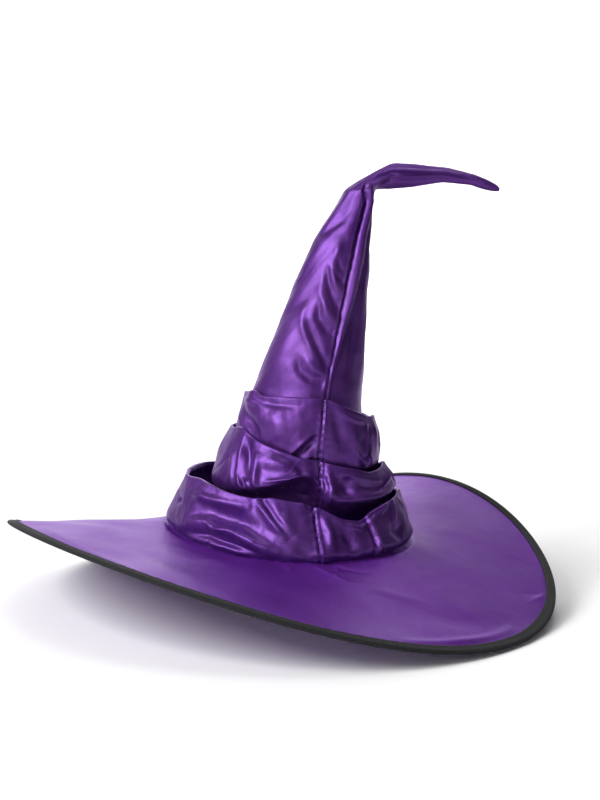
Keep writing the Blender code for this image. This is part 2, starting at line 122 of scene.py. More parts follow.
@dataclass(frozen=True)
class Ripples:
    """Uneven waves through space: a sum of seeded waves in random directions, smooth or folded into flat facets."""

    wavelength: float
    height: float
    seed: int
    count: int = 14
    stretch: float = 1.0
    folded: bool = False

    def at(self, x: np.ndarray, y: np.ndarray, z: np.ndarray | float = 0.0) -> np.ndarray:
        """Height of the waves at each place.

        Args:
            x: First coordinate, in the unit of the wavelength.
            y: Second coordinate, in the same unit.
            z: Third coordinate, along which the waves are stretched.

        Returns:
            The sum of the waves, scaled to about the given height.
        """
        draw = np.random.default_rng(self.seed)
        way = draw.normal(size=(self.count, 3))
        way /= np.linalg.norm(way, axis=1, keepdims=True)
        pace = 2.0 * math.pi / (self.wavelength * draw.uniform(0.6, 1.7, self.count))
        phase = draw.uniform(0.0, 2.0 * math.pi, self.count)
        total = np.zeros(np.broadcast(x, y, z).shape)
        for (a, b, c), k, p in zip(way, pace, phase):
            wave = np.sin(k * (a * x + b * y + c * z / self.stretch) + p)
            total = total + (np.arcsin(0.985 * wave) * (2.0 / math.pi) if self.folded else wave)
        return total * self.height / math.sqrt(0.5 * self.count)


def on_drum(angles: np.ndarray, radius: float) -> tuple[np.ndarray, np.ndarray]:
    """X and Y of directions in degrees on a drum of a radius, so that waves through space close round it."""
    return radius * np.cos(np.radians(angles)), radius * np.sin(np.radians(angles))


def half_turn(angles: np.ndarray | float) -> np.ndarray | float:
    """Directions in degrees brought between -180 and 180."""
    return (angles + 180.0) % 360.0 - 180.0


def hump(value: np.ndarray, middle: float | np.ndarray, width: float | np.ndarray) -> np.ndarray:
    """A Gaussian hump of height 1 round a middle, falling to 1/e at its width."""
    return np.exp(-(((value - middle) / width) ** 2))


def stacked(*parts: np.ndarray) -> np.ndarray:
    """Coordinates that broadcast together, stacked as the last axis."""
    return np.stack(np.broadcast_arrays(*parts), axis=-1)


def degrees_round(count: int) -> np.ndarray:
    """Evenly spaced directions of one turn, in degrees from -180."""
    return np.linspace(-180.0, 180.0, count, endpoint=False)


def around(keys: tuple[tuple[float, ...], ...], angles: np.ndarray, soften: float) -> np.ndarray:
    """Values that run straight from key to key round a turn, with their corners rounded.

    The straight runs are blurred by a circular Gaussian: each harmonic n is scaled by exp(-(n s)^2 / 2).

    Args:
        keys: Rows of (angle in degrees, value, ...), in any order.
        angles: Evenly spaced directions of one turn, in degrees.
        soften: Width s of the blur in degrees.

    Returns:
        One row of values for each direction.
    """
    table = np.array(sorted(keys))
    values = [np.interp(angles, table[:, 0], column, period=360.0) for column in table[:, 1:].T]
    order = np.fft.rfftfreq(len(angles), 1.0 / len(angles))
    scale = np.exp(-0.5 * (order * math.radians(soften)) ** 2)
    return np.stack([np.fft.irfft(np.fft.rfft(v) * scale, len(angles)) for v in values], axis=-1)


def smooth_line(keys: tuple[tuple[float, ...], ...], places: np.ndarray, soften: float) -> np.ndarray:
    """Values that run straight from key to key along an open line, with their corners rounded.

    Args:
        keys: Rows of (place, value, ...) in order.
        places: Evenly spaced places along the line.
        soften: Width of the rounding, in the unit of the places.

    Returns:
        One row of values for each place.
    """
    table = np.array(keys)
    step = places[1] - places[0]
    reach = max(1, int(round(3.0 * soften / step)))
    offsets = np.arange(-reach, reach + 1) * step
    weights = np.exp(-0.5 * (offsets / max(soften, 1e-9)) ** 2)
    weights /= weights.sum()
    out = []
    for column in table[:, 1:].T:
        low = places[0] + np.arange(-reach, 0) * step
        high = places[-1] + np.arange(1, reach + 1) * step
        wide = np.concatenate([low, places, high])
        run = np.interp(wide, table[:, 0], column)
        first = (column[1] - column[0]) / (table[1, 0] - table[0, 0])
        last = (column[-1] - column[-2]) / (table[-1, 0] - table[-2, 0])
        run = run + np.where(wide < table[0, 0], (wide - table[0, 0]) * first, 0.0)
        run = run + np.where(wide > table[-1, 0], (wide - table[-1, 0]) * last, 0.0)
        out.append(np.convolve(run, weights, mode="valid"))
    return np.stack(out, axis=-1)


def ease(low: float, high: float, value: np.ndarray) -> np.ndarray:
    """Smooth step from 0 at low to 1 at high."""
    t = np.clip((value - low) / (high - low), 0.0, 1.0)
    return t * t * (3.0 - 2.0 * t)


def normals_of(points: np.ndarray, wrap: bool) -> np.ndarray:
    """Unit normals of a grid of points: the cross product of its column and row directions.

    Args:
        points: Array (rows, columns, 3).
        wrap: Whether the last column meets the first.

    Returns:
        Array of the same shape, pointing to the side from which rows run up and columns run to the right.
    """
    up = np.gradient(points, axis=0)
    if wrap:
        side = 0.5 * (np.roll(points, -1, axis=1) - np.roll(points, 1, axis=1))
    else:
        side = np.gradient(points, axis=1)
    out = np.cross(side, up)
    return out / np.maximum(np.linalg.norm(out, axis=-1, keepdims=True), 1e-12)


def crease_field(
    creases: tuple[Crease, ...], across: np.ndarray, along: np.ndarray, radius: float | np.ndarray
) -> np.ndarray:
    """How far a set of creases lifts the cloth at each place.

    The nearest point of a crease's path is found on each of its straight stretches. The lift falls away from it
    as a Gaussian, as an exponential with its point rounded off, or as a Gaussian times the signed distance, and
    it tapers to both ends of the path as a sine.

    Args:
        creases: The creases, with directions in degrees and heights in mm.
        across: Direction of each place, in degrees.
        along: Height of each place, in mm.
        radius: Radius in mm that turns a direction into a distance.

    Returns:
        Lift of each place in mm.
    """
    across, along, radius = np.broadcast_arrays(across, along, radius)
    lift = np.zeros(across.shape)
    for crease in creases:
        away = np.full(across.shape, 1e9)
        side = np.zeros(across.shape)
        share = np.zeros(across.shape)
        count = len(crease.path) - 1
        for index, (start, end) in enumerate(zip(crease.path, crease.path[1:])):
            s = np.radians(half_turn(across - start[0])) * radius
            z = along - start[1]
            run = math.radians(half_turn(end[0] - start[0])) * radius
            rise = end[1] - start[1]
            length = np.hypot(run, rise) + 1e-9
            t = np.clip((s * run + z * rise) / length**2, 0.0, 1.0)
            gap = np.hypot(s - t * run, z - t * rise)
            near = gap < away
            away = np.where(near, gap, away)
            side = np.where(near, (s * rise - z * run) / length, side)
            share = np.where(near, (index + t) / count, share)
        taper = np.sin(math.pi * (0.10 + 0.80 * share))
        if crease.lay is Lay.SHARP:
            fall = np.exp(-(np.sqrt(away**2 + 0.12) - 0.35) / crease.width)
        elif crease.lay is Lay.PLEAT:
            fall = -1.6 * side / crease.width * np.exp(-((away / crease.width) ** 2))
        else:
            fall = np.exp(-((away / crease.width) ** 2))
        lift = lift + crease.height * taper * fall
    return lift


def through(rings: list[np.ndarray], shares: tuple[float, ...], places: np.ndarray) -> np.ndarray:
    """A surface through rings: each column is a cubic through its points, with tangents from its neighbours.

    Args:
        rings: Arrays (columns, values), from the first ring to the last.
        shares: Place of each ring, rising from 0 to 1.
        places: Places of the rows to work out, from 0 to 1.

    Returns:
        Array (rows, columns, values).
    """
    knots = np.array(shares)
    points = np.stack(rings)
    slope = np.gradient(points, knots, axis=0, edge_order=1)
    low = np.clip(np.searchsorted(knots, places, side="right") - 1, 0, len(knots) - 2)
    span = (knots[low + 1] - knots[low])[:, None, None]
    t = (places - knots[low])[:, None, None] / span
    start = (2.0 * t**3 - 3.0 * t**2 + 1.0) * points[low] + (t**3 - 2.0 * t**2 + t) * span * slope[low]
    end = (3.0 * t**2 - 2.0 * t**3) * points[low + 1] + (t**3 - t**2) * span * slope[low + 1]
    return start + end


def place(name: str, data: bpy.types.ID) -> bpy.types.Object:
    """A new object with this data, linked to the scene."""
    item = bpy.data.objects.new(name, data)
    bpy.context.scene.collection.objects.link(item)
    return item


def grid_mesh(name: str, points: np.ndarray, wrap: bool, lengths: tuple[float, float]) -> bpy.types.Object:
    """A quad mesh over a grid, with a UV map in metres of cloth.

    Args:
        name: Name of the object and its mesh.
        points: Array (rows, columns, 3) in metres.
        wrap: Whether the last column joins the first.
        lengths: Cloth length along a row and along a column, in metres.

    Returns:
        The new object, linked to the scene.
    """
    rows, cols = points.shape[:2]
    spans = cols if wrap else cols - 1
    r, c = np.meshgrid(np.arange(rows - 1), np.arange(spans), indexing="ij")
    after = (c + 1) % cols
    quads = np.stack([r * cols + c, r * cols + after, (r + 1) * cols + after, (r + 1) * cols + c], axis=-1)
    mesh = bpy.data.meshes.new(name)
    mesh.vertices.add(rows * cols)
    mesh.vertices.foreach_set("co", points.astype(np.float32).ravel())
    count = quads.shape[0] * quads.shape[1]
    mesh.loops.add(4 * count)
    mesh.loops.foreach_set("vertex_index", quads.astype(np.int32).ravel())
    mesh.polygons.add(count)
    mesh.polygons.foreach_set("loop_start", np.arange(0, 4 * count, 4, dtype=np.int32))
    mesh.update(calc_edges=True)
    u = np.stack([c, c + 1, c + 1, c], axis=-1) * (lengths[0] / spans)
    v = np.stack([r, r, r + 1, r + 1], axis=-1) * (lengths[1] / (rows - 1))
    layer = mesh.uv_layers.new(name="cloth")
    layer.data.foreach_set("uv", np.stack([u, v], axis=-1).astype(np.float32).ravel())
    mesh.shade_smooth()
    mesh.validate()
    return place(name, mesh)


def thicken(item: bpy.types.Object, thickness: float = SATIN_CLOTH, offset: float = -1.0) -> None:
    """Give a sheet its thickness, to the inner side unless another offset is given."""
    wall = item.modifiers.new("cloth", "SOLIDIFY")
    wall.thickness = thickness
    wall.offset = offset


def weld(item: bpy.types.Object) -> None:
    """Close a mesh where its points lie on each other."""
    item.modifiers.new("weld", "WELD").merge_threshold = MERGE_WITHIN


def row_length(points: np.ndarray) -> float:
    """Mean length of a closed row of a grid."""
    step = np.roll(points, -1, axis=1) - points
    return float(np.linalg.norm(step, axis=-1).sum(axis=1).mean())


def column_length(points: np.ndarray) -> float:
    """Mean length of a column of a grid."""
    return float(np.linalg.norm(np.diff(points, axis=0), axis=-1).sum(axis=0).mean())


def cut_size(points: np.ndarray) -> tuple[float, float]:
    """Length round and length up of a cloth that closes round, from its grid of points."""
    return row_length(points), column_length(points)


def round_cloth(name: str, points: np.ndarray, thickness: float) -> bpy.types.Object:
    """A cloth that closes round, with its thickness and a UV map in metres of its own measured size.

    Args:
        name: Name of the piece.
        points: Array (rows, columns, 3) in metres.
        thickness: Thickness of the cloth.

    Returns:
        The piece, not yet dressed.
    """
    size = cut_size(points)
    item = grid_mesh(name, points, True, size)
    thicken(item, thickness)
    return item


class Nodes:
    """A short way to write a material's node tree."""

    def __init__(self, name: str) -> None:
        """Start a material with only its shader and output."""
        self.material = bpy.data.materials.new(name)
        self.material.use_nodes = True
        self.tree = self.material.node_tree
        self.shader = self.tree.nodes["Principled BSDF"]

    def add(self, kind: str, **values: object) -> bpy.types.Node:
        """A node of the given kind, with its properties and inputs set by name.

        Args:
            kind: Node type, without its ShaderNode prefix.
            values: Property names, or input names with underscores for spaces.

        Returns:
            The node.
        """
        node = self.tree.nodes.new("ShaderNode" + kind)
        for key, value in values.items():
            if hasattr(node, key):
                setattr(node, key, value)
            else:
                node.inputs[key.replace("_", " ")].default_value = value
        return node

    def finish(self, values: dict[str, float | tuple[float, ...]]) -> bpy.types.Material:
        """Set the shader's own sockets and give back the material."""
        for key, value in values.items():
            self.shader.inputs[key].default_value = value
        return self.material

    def link(self, source: bpy.types.NodeSocket, node: bpy.types.Node, entry: str | int) -> None:
        """Link a socket to a node's input."""
        self.tree.links.new(source, node.inputs[entry])

    def noise(self, vector: bpy.types.NodeSocket, scale: float, detail: float = 2.0) -> bpy.types.NodeSocket:
        """Noise of a given scale on a vector."""
        node = self.add("TexNoise", Scale=scale, Detail=detail)
        self.link(vector, node, "Vector")
        return node.outputs["Fac"]

    def stretched(self, vector: bpy.types.NodeSocket, scale: tuple[float, float, float]) -> bpy.types.NodeSocket:
        """A vector scaled along its axes."""
        node = self.add("Mapping", Scale=scale)
        self.link(vector, node, "Vector")
        return node.outputs["Vector"]

    def ramp(self, value: bpy.types.NodeSocket, *stops: tuple[float, tuple[float, ...]]) -> bpy.types.NodeSocket:
        """Colours along a value, from two (place, colour) stops."""
        node = self.add("ValToRGB")
        for element, (spot, colour) in zip(node.color_ramp.elements, stops):
            element.position = spot
            element.color = (*colour, 1.0)
        self.link(value, node, "Fac")
        return node.outputs["Color"]

    def blend(self, first: bpy.types.NodeSocket, second: bpy.types.NodeSocket, share: float) -> bpy.types.NodeSocket:
        """A mix of two values by the share of the second."""
        node = self.add("MixRGB", blend_type="MIX", Fac=share)
        self.link(first, node, "Color1")
        self.link(second, node, "Color2")
        return node.outputs["Color"]

    def bump(
        self, value: bpy.types.NodeSocket, distance: float, strength: float, under: bpy.types.NodeSocket | None = None
    ) -> bpy.types.NodeSocket:
        """A bump from a height, over another bump if given."""
        node = self.add("Bump", Distance=distance, Strength=strength)
        self.link(value, node, "Height")
        if under is not None:
            self.link(under, node, "Normal")
        return node.outputs["Normal"]


@dataclass(frozen=True)
class Satin:
    """Glossy polyester satin: long floats one way, fine ribs the other, and a coloured sheen."""

    name: str
    deep: tuple[float, float, float]
    light: tuple[float, float, float]
    roughness: float = 0.35
    metallic: float = 0.60
    sheen: float = 0.03
    coat: float = 0.12

    def make(self) -> bpy.types.Material:
        """Build the material on the piece's cloth UV map, in metres."""
        n = Nodes(self.name)
        cloth = n.add("UVMap", uv_map="cloth").outputs["UV"]
        body = n.add("TexCoord").outputs["Object"]
        floats = n.noise(n.stretched(cloth, (3400.0, 150.0, 1.0)), 1.0, 3.0)
        ribs = n.noise(n.stretched(cloth, (900.0, 5200.0, 1.0)), 1.0, 1.0)
        cloud = n.noise(body, 24.0, 3.0)
        crush = n.noise(body, 95.0, 4.0)
        mixed = n.blend(cloud, floats, 0.35)
        n.link(n.ramp(mixed, (0.36, self.deep), (0.64, self.light)), n.shader, "Base Color")
        smooth, dull = self.roughness - 0.05, self.roughness + 0.08
        rough = n.add("MapRange", From_Min=0.3, From_Max=0.7, To_Min=smooth, To_Max=dull)
        n.link(cloud, rough, "Value")
        n.link(rough.outputs["Result"], n.shader, "Roughness")
        low = n.bump(crush, 0.0012, 0.30)
        mid = n.bump(floats, 0.00016, 0.8, low)
        n.link(n.bump(ribs, 0.00008, 0.35, mid), n.shader, "Normal")
        return n.finish({
            "Metallic": self.metallic, "Anisotropic": 0.45,
            "Specular IOR Level": 0.35, "Specular Tint": (0.88, 0.70, 1.0, 1.0),
            "Coat Weight": self.coat, "Coat Roughness": 0.34,
            "Sheen Weight": self.sheen, "Sheen Roughness": 0.35, "Sheen Tint": (0.62, 0.40, 0.95, 1.0),
        })


@dataclass(frozen=True)
class Woven:
    """Plain matt cloth with threads crossing both ways."""

    name: str
    deep: tuple[float, float, float]
    light: tuple[float, float, float]
    threads: float
    roughness: float = 0.85
    ribs: float = 1.0
    sheen: float = 0.25

    def make(self) -> bpy.types.Material:
        """Build the material on the piece's cloth UV map, in metres."""
        n = Nodes(self.name)
        cloth = n.add("UVMap", uv_map="cloth").outputs["UV"]
        body = n.add("TexCoord").outputs["Object"]
        cross = n.add("Math", operation="MULTIPLY")
        for entry, (way, threads) in enumerate((("X", self.threads), ("Y", self.threads * self.ribs))):
            bands = n.add("TexWave", wave_type="BANDS", bands_direction=way, Scale=threads, Distortion=0.4)
            n.link(cloth, bands, "Vector")
            n.link(bands.outputs["Fac"], cross, entry)
        fuzz = n.noise(body, 900.0, 3.0)
        mixed = n.blend(cross.outputs["Value"], fuzz, 0.5)
        n.link(n.ramp(mixed, (0.25, self.deep), (0.75, self.light)), n.shader, "Base Color")
        low = n.bump(cross.outputs["Value"], 0.00018, 0.7)
        n.link(n.bump(fuzz, 0.0001, 0.4, low), n.shader, "Normal")
        return n.finish({
            "Roughness": self.roughness, "Specular IOR Level": 0.2,
            "Sheen Weight": self.sheen, "Sheen Roughness": 0.6,
        })


@dataclass(frozen=True)
class Steel:
    """Drawn steel with fine scratches along it."""

    name: str
    colour: tuple[float, float, float]
    roughness: float

    def make(self) -> bpy.types.Material:
        """Build the material on object coordinates."""
        n = Nodes(self.name)
        body = n.add("TexCoord").outputs["Object"]
        scratch = n.noise(body, 1400.0, 2.0)
        dark = tuple(0.7 * c for c in self.colour)
        n.link(n.ramp(scratch, (0.3, dark), (0.7, self.colour)), n.shader, "Base Color")
        n.link(n.bump(scratch, 0.00004, 0.5), n.shader, "Normal")
        return n.finish({"Metallic": 1.0, "Roughness": self.roughness})


class Finishes:
    """Every material of the hat, made once."""

    def __init__(self) -> None:
        """Make the finishes."""
        self.satin = Satin("purple_satin", (0.062, 0.013, 0.145), (0.100, 0.030, 0.196)).make()
        self.brim_satin = Satin(
            "brim_satin", (0.090, 0.013, 0.214), (0.118, 0.019, 0.262),
            roughness=0.44, metallic=0.45, sheen=0.0, coat=0.02,
        ).make()
        self.binding = Woven("binding_tape", (0.007, 0.007, 0.008), (0.022, 0.022, 0.025), 420.0, sheen=0.03).make()
        self.ribbon = Woven("band_ribbon", (0.012, 0.012, 0.014), (0.045, 0.045, 0.050), 260.0, ribs=0.35).make()
        self.lining = Woven(
            "non_woven", (0.018, 0.012, 0.028), (0.050, 0.034, 0.072), 180.0, ribs=0.7, sheen=0.05
        ).make()
        self.label = Woven("label_tape", (0.62, 0.62, 0.60), (0.84, 0.84, 0.82), 600.0).make()
        self.thread = Woven("sewing_thread", (0.070, 0.018, 0.150), (0.20, 0.07, 0.38), 900.0).make()
        self.black_thread = Woven("black_thread", (0.015, 0.015, 0.017), (0.06, 0.06, 0.065), 900.0).make()
        self.wire = Steel("spring_wire", (0.60, 0.61, 0.63), 0.32).make()
        self.crimp = Steel("crimped_tube", (0.66, 0.66, 0.67), 0.28).make()


def dress(item: bpy.types.Object, material: bpy.types.Material, body: str | None = None) -> None:
    """Give a piece its material and, unless it is blended, the body it rides on."""
    item.data.materials.append(material)
    if body is not None:
        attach(item, body)


class Form:
    """The shared saddle of the brim and the ring where the crown is sewn to it."""

    LAND_KEYS = (  # (direction, height in mm over the floor)
        (-169, 60.5), (-150, 57.0), (-127, 52.3), (-96, 48.2), (-77, 46.6), (-50, 49.0), (-22, 50.8),
        (0, 50.4), (45, 53.2), (90, 54.4), (120, 55.2), (150, 57.8), (180, 61.0),
    )

    @staticmethod
    def hoop(angles: np.ndarray) -> np.ndarray:
        """Height of the hoop over the floor: its mean height and the sum of its waves."""
        total = np.full(np.shape(angles), HOOP_HEIGHT)
        for count, rise, crest in HOOP_WAVES:
            total = total + rise * np.cos(count * np.radians(angles - crest))
        return total

    @classmethod
    def land(cls, angles: np.ndarray) -> np.ndarray:
        """Height of the ring where the crown is sewn on, in metres."""
        return around(cls.LAND_KEYS, angles, 9.0)[:, 0] * MM

    @classmethod
    def brim(cls, radii: np.ndarray, angles: np.ndarray) -> np.ndarray:
        """The brim's middle surface: nearly straight from the crown's ring to the hoop.

        The height is mixed from the ring's and the hoop's by the share t of the way between them, and the
        centre slides from the crown's to the hoop's.

        Args:
            radii: Distances from the centre, one for each row.
            angles: Directions in degrees, one for each column.

        Returns:
            Array (rows, columns, 3).
        """
        share = np.clip((radii - CROWN_RADIUS) / (HOOP_RADIUS - CROWN_RADIUS), -0.05, 1.1)[:, None]
        turn = np.radians(angles)[None, :]
        x = CROWN_CENTRE_X * (1.0 - share) + radii[:, None] * np.cos(turn)
        y = radii[:, None] * np.sin(turn)
        bow = share + 0.10 * share * (1.0 - share)
        z = cls.land(angles)[None, :] * (1.0 - bow) + cls.hoop(angles)[None, :] * bow
        return stacked(x, y, z)


@dataclass
class Brim:
    """The two covers, the interlining, the hoop wire with its sleeve, and the bound edge."""

    finishes: Finishes
    columns: int = 540
    rows: int = 90
    half_stack: float = 0.0010
    cover_edge: float = 0.2112
    wire_radius: float = 0.0009
    binding_width: float = 0.0078
    binding_half: float = 0.0015
    binding_cloth: float = 0.00045
    binding_columns: int = 720
    sleeve_swell: float = 0.0006
    sleeve_reach: float = 2.7  # degrees each side of the sleeve's middle
    sleeve_radius: float = 0.00155
    crimp_depth: float = 0.00032
    wire_gap: float = 0.14  # degrees from the sleeve's middle to each end of the wire
    stitch_pitch: float = 0.0032
    creases: tuple[Crease, ...] = (
        soft(2.6, 1.0, (-80.0, 99.0), (-74.0, 116.0), (-69.0, 131.0)),
        soft(2.2, -0.9, (-76.0, 98.0), (-66.0, 108.0), (-57.0, 117.0)),
        soft(2.4, 0.8, (-70.0, 99.0), (-71.0, 112.0), (-76.0, 124.0)),
        soft(3.0, 0.6, (-92.0, 99.0), (-88.0, 118.0)),
        soft(6.0, 0.8, (-68.0, 128.0), (-52.0, 152.0)),
        soft(9.0, 0.8, (-104.0, 106.0), (-122.0, 152.0)),
        soft(11.0, -1.2, (-58.0, 165.0), (-30.0, 200.0)),
        sharp(1.4, 0.8, (-20.0, 196.0), (-11.0, 208.0)),
        sharp(1.4, -0.7, (-16.0, 190.0), (-12.0, 207.0)),
        soft(4.0, 1.4, (-36.0, 201.0), (-52.0, 203.0), (-66.0, 204.0)),
        soft(3.0, 0.8, (-156.0, 196.0), (-138.0, 200.0), (-118.0, 204.0)),
        soft(12.0, 0.9, (-150.0, 130.0), (-165.0, 195.0)),
        soft(10.0, 1.0, (150.0, 120.0), (140.0, 190.0)),
        soft(9.0, -1.1, (60.0, 110.0), (75.0, 175.0)),
        soft(11.0, 0.9, (20.0, 120.0), (5.0, 180.0)),
        soft(3.0, 0.8, (100.0, 100.0), (112.0, 130.0)),
        soft(2.4, 0.7, (84.0, 100.0), (92.0, 122.0)),
        soft(3.0, 0.6, (-135.0, 99.0), (-140.0, 116.0)),
    )

    def relief(self, radii: np.ndarray, angles: np.ndarray) -> np.ndarray:
        """Height of the cloth's own unevenness, in metres, fading to nothing at the hoop.

        Broad ripples and the creases, which are placed by direction and by distance from the centre in mm,
        and short puckers where the brim is gathered to the crown.
        """
        r = radii[:, None] / MM
        turn = np.radians(angles[None, :])
        x, y = r * np.cos(turn), r * np.sin(turn)
        broad = Ripples(80.0, 0.30, 11).at(x, y) * ease(97.0, 125.0, r)
        fine = Ripples(22.0, 0.05, 12).at(x, y)
        pucker = (0.5 + 0.5 * np.sin(turn * 61.0 + 2.0 * np.sin(turn * 7.0))) * 0.5
        gather = pucker * np.exp(-np.maximum(r - CROWN_RADIUS / MM, 0.0) / 5.0)
        marks = crease_field(self.creases, angles[None, :], r, 140.0)
        sewn = -1.3 * hump(r, 97.0, 2.2)
        near_hoop = ease(203.0, 209.5, r)
        return (broad + fine + marks + gather + sewn) * (1.0 - near_hoop) * MM

    def layer(self, name: str, rise: float, relief: float, top: bool) -> bpy.types.Object:
        """One cloth of the brim at a rise over its middle surface.

        Args:
            name: Name of the piece.
            rise: Height of its outer face over the middle surface.
            relief: Share of the cloth's unevenness that it takes.
            top: Whether its outer face looks up.

        Returns:
            The piece.
        """
        angles = degrees_round(self.columns)
        radii = np.linspace(OPENING_RADIUS, self.cover_edge, self.rows)
        points = Form.brim(radii, angles)
        points[..., 2] += rise + relief * self.relief(radii, angles)
        if top:
            points = points[::-1]
        item = grid_mesh(name, points, True, (2.0 * math.pi * 0.15, self.cover_edge - OPENING_RADIUS))
        thicken(item)
        return item

    def covers(self) -> None:
        """The satin above and below, and the interlining between them."""
        top = self.layer("brim_satin_top", self.half_stack, 1.0, True)
        under = self.layer("brim_satin_under", -self.half_stack, 0.7, False)
        middle = self.layer("brim_interlining_sheet", 0.0002, 0.85, True)
        for item, node, material, slot in (
            (top, "brim_top_cover", self.finishes.brim_satin, "satin"),
            (under, "brim_under_cover", self.finishes.brim_satin, "satin"),
            (middle, "brim_interlining", self.finishes.lining, "interlining"),
        ):
            dress(item, material, "brim")
            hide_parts(node)

    def edge_frame(self, angles: np.ndarray, whole: bool = True) -> tuple[np.ndarray, np.ndarray, np.ndarray]:
        """Hoop point, outward direction and upward normal of the brim at each direction.

        Args:
            angles: Directions in degrees.
            whole: Whether they go all the way round, so that the last one neighbours the first.

        Returns:
            Three arrays (columns, 3).
        """
        inner, here = Form.brim(np.array([HOOP_RADIUS - 0.5 * MM, HOOP_RADIUS]), angles)
        out = (here - inner) / np.linalg.norm(here - inner, axis=-1, keepdims=True)
        run = np.roll(here, -1, axis=0) - np.roll(here, 1, axis=0) if whole else np.gradient(here, axis=0)
        normal = np.cross(out, run)
        return here, out, normal / np.linalg.norm(normal, axis=-1, keepdims=True)

    def binding(self) -> None:
        """The tape folded over the edge: flat on the cover at its raw side, full over the wire, and puckered."""
        angles = degrees_round(self.binding_columns)
        edge = EDGE_RADIUS - HOOP_RADIUS
        flat = self.binding_width - edge
        share = np.linspace(0.0, 1.0, 12)
        raw_side, set_in = self.half_stack + 0.3 * MM, 0.2 * MM
        swell = raw_side + (self.binding_half - raw_side) * ease(0.35, 0.9, share)
        upper = np.stack([-flat + share * (flat - set_in), swell], axis=-1)
        turn = np.linspace(0.5 * math.pi, -0.5 * math.pi, 9)[1:-1]
        nose = np.stack([(edge + set_in) * np.cos(turn) - set_in, self.binding_half * np.sin(turn)], axis=-1)
        lower = upper[::-1] * np.array([1.0, -1.0])
        line = np.concatenate([upper, nose, lower])
        over_sleeve = 1.0 - ease(3.0, 5.0, np.abs(angles - SLEEVE_ANGLE))
        hoop = on_drum(angles, HOOP_RADIUS / MM)
        wave = Ripples(9.0, 0.10, 21).at(*hoop) * MM
        width = Ripples(60.0, 0.22, 22).at(*hoop) * MM
        section = np.repeat(line[:, None, :], self.binding_columns, axis=1)
        raw = np.abs(np.linspace(-1.0, 1.0, len(line)))[:, None] ** 4
        section[..., 0] -= raw * width[None]
        section[..., 1] += np.sign(section[..., 1]) * (1.0 - raw) * over_sleeve[None] * self.sleeve_swell
        section[..., 1] += np.sign(section[..., 1]) * raw * (np.abs(wave)[None] + 0.05 * MM)
        here, out, normal = self.edge_frame(angles)
        points = (here + section[..., :1] * out + section[..., 1:] * normal)[::-1]
        item = grid_mesh("edge_binding_tape", points, True, (2.0 * math.pi * HOOP_RADIUS, column_length(points)))
        thicken(item, self.binding_cloth, 0.0)
        dress(item, self.finishes.binding, "brim")
        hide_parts("brim_edge_binding")

    def stitches(self) -> None:
        """A row of short stitches along the raw side of the tape, above and below."""
        count = int(2.0 * math.pi * HOOP_RADIUS / self.stitch_pitch)
        angles = degrees_round(count)
        here, out, normal = self.edge_frame(angles)
        along = np.cross(normal, out)
        back = self.binding_width - (EDGE_RADIUS - HOOP_RADIUS) - 0.0013
        groups = []
        for side in (1.0, -1.0):
            middle = here - back * out + side * (self.half_stack + 0.00062) * normal
            groups.append(stitch_points(middle, along, out, side * normal, 0.55 * self.stitch_pitch, THREAD_RADIUS))
        item = stitch_mesh("binding_stitches", np.concatenate(groups))
        dress(item, self.finishes.black_thread, "brim")

    def wire(self) -> None:
        """The spring wire, one open ring, and the crimped sleeve over its two ends."""
        ring = self.wire_radius * self.circle(8)[:, None]
        angles = np.linspace(SLEEVE_ANGLE + self.wire_gap, SLEEVE_ANGLE + 360.0 - self.wire_gap, 540)
        self.tube("hoop_wire", ring, angles, self.finishes.wire, "brim_hoop_wire")
        angles = np.linspace(SLEEVE_ANGLE - self.sleeve_reach, SLEEVE_ANGLE + self.sleeve_reach, 64)
        where = np.linspace(-1.0, 1.0, 64)
        dents = sum(hump(where, middle, 0.09) for middle in (-0.62, -0.22, 0.22, 0.62))
        half = np.stack([np.full(64, self.sleeve_radius), self.sleeve_radius - self.crimp_depth * dents], axis=-1)
        ring = self.circle(16)[:, None] * half
        self.tube("wire_sleeve", ring, angles, self.finishes.crimp, "hoop_joining_sleeve")

    @staticmethod
    def circle(count: int) -> np.ndarray:
        """Points of a unit circle, running so that a tube of it faces outwards."""
        turn = np.linspace(0.0, 2.0 * math.pi, count, endpoint=False)
        return np.stack([np.cos(turn), -np.sin(turn)], axis=-1)

    def tube(
        self, name: str, ring: np.ndarray, angles: np.ndarray, material: bpy.types.Material, node: str
    ) -> None:
        """A tube along part of the hoop, closed by a point at each end.

        Args:
            name: Name of the piece.
            ring: Cross-section as (out, up) offsets, (points, 1 or columns, 2).
            angles: Directions of the columns in degrees, not wrapping.
            material: Its finish.
            node: The frame's node that it stands for.
        """
        here, out, normal = self.edge_frame(angles, False)
        points = here + ring[..., :1] * out + ring[..., 1:] * normal
        ends = [np.repeat(here[None, spot], len(points), axis=0) for spot in (slice(0, 1), slice(-1, None))]
        points = np.concatenate([ends[0], points, ends[1]], axis=1).transpose(1, 0, 2)[::-1]
        item = grid_mesh(name, points, True, (2.0 * math.pi * self.wire_radius, 2.0 * math.pi * HOOP_RADIUS))
        weld(item)
        dress(item, material, "brim")
        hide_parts(node)

    def build(self) -> None:
        """Make every piece of the brim."""
        self.covers()
        self.binding()
        self.stitches()
        self.wire()
        LOG.info("brim: covers, interlining, binding, stitches, wire and sleeve")


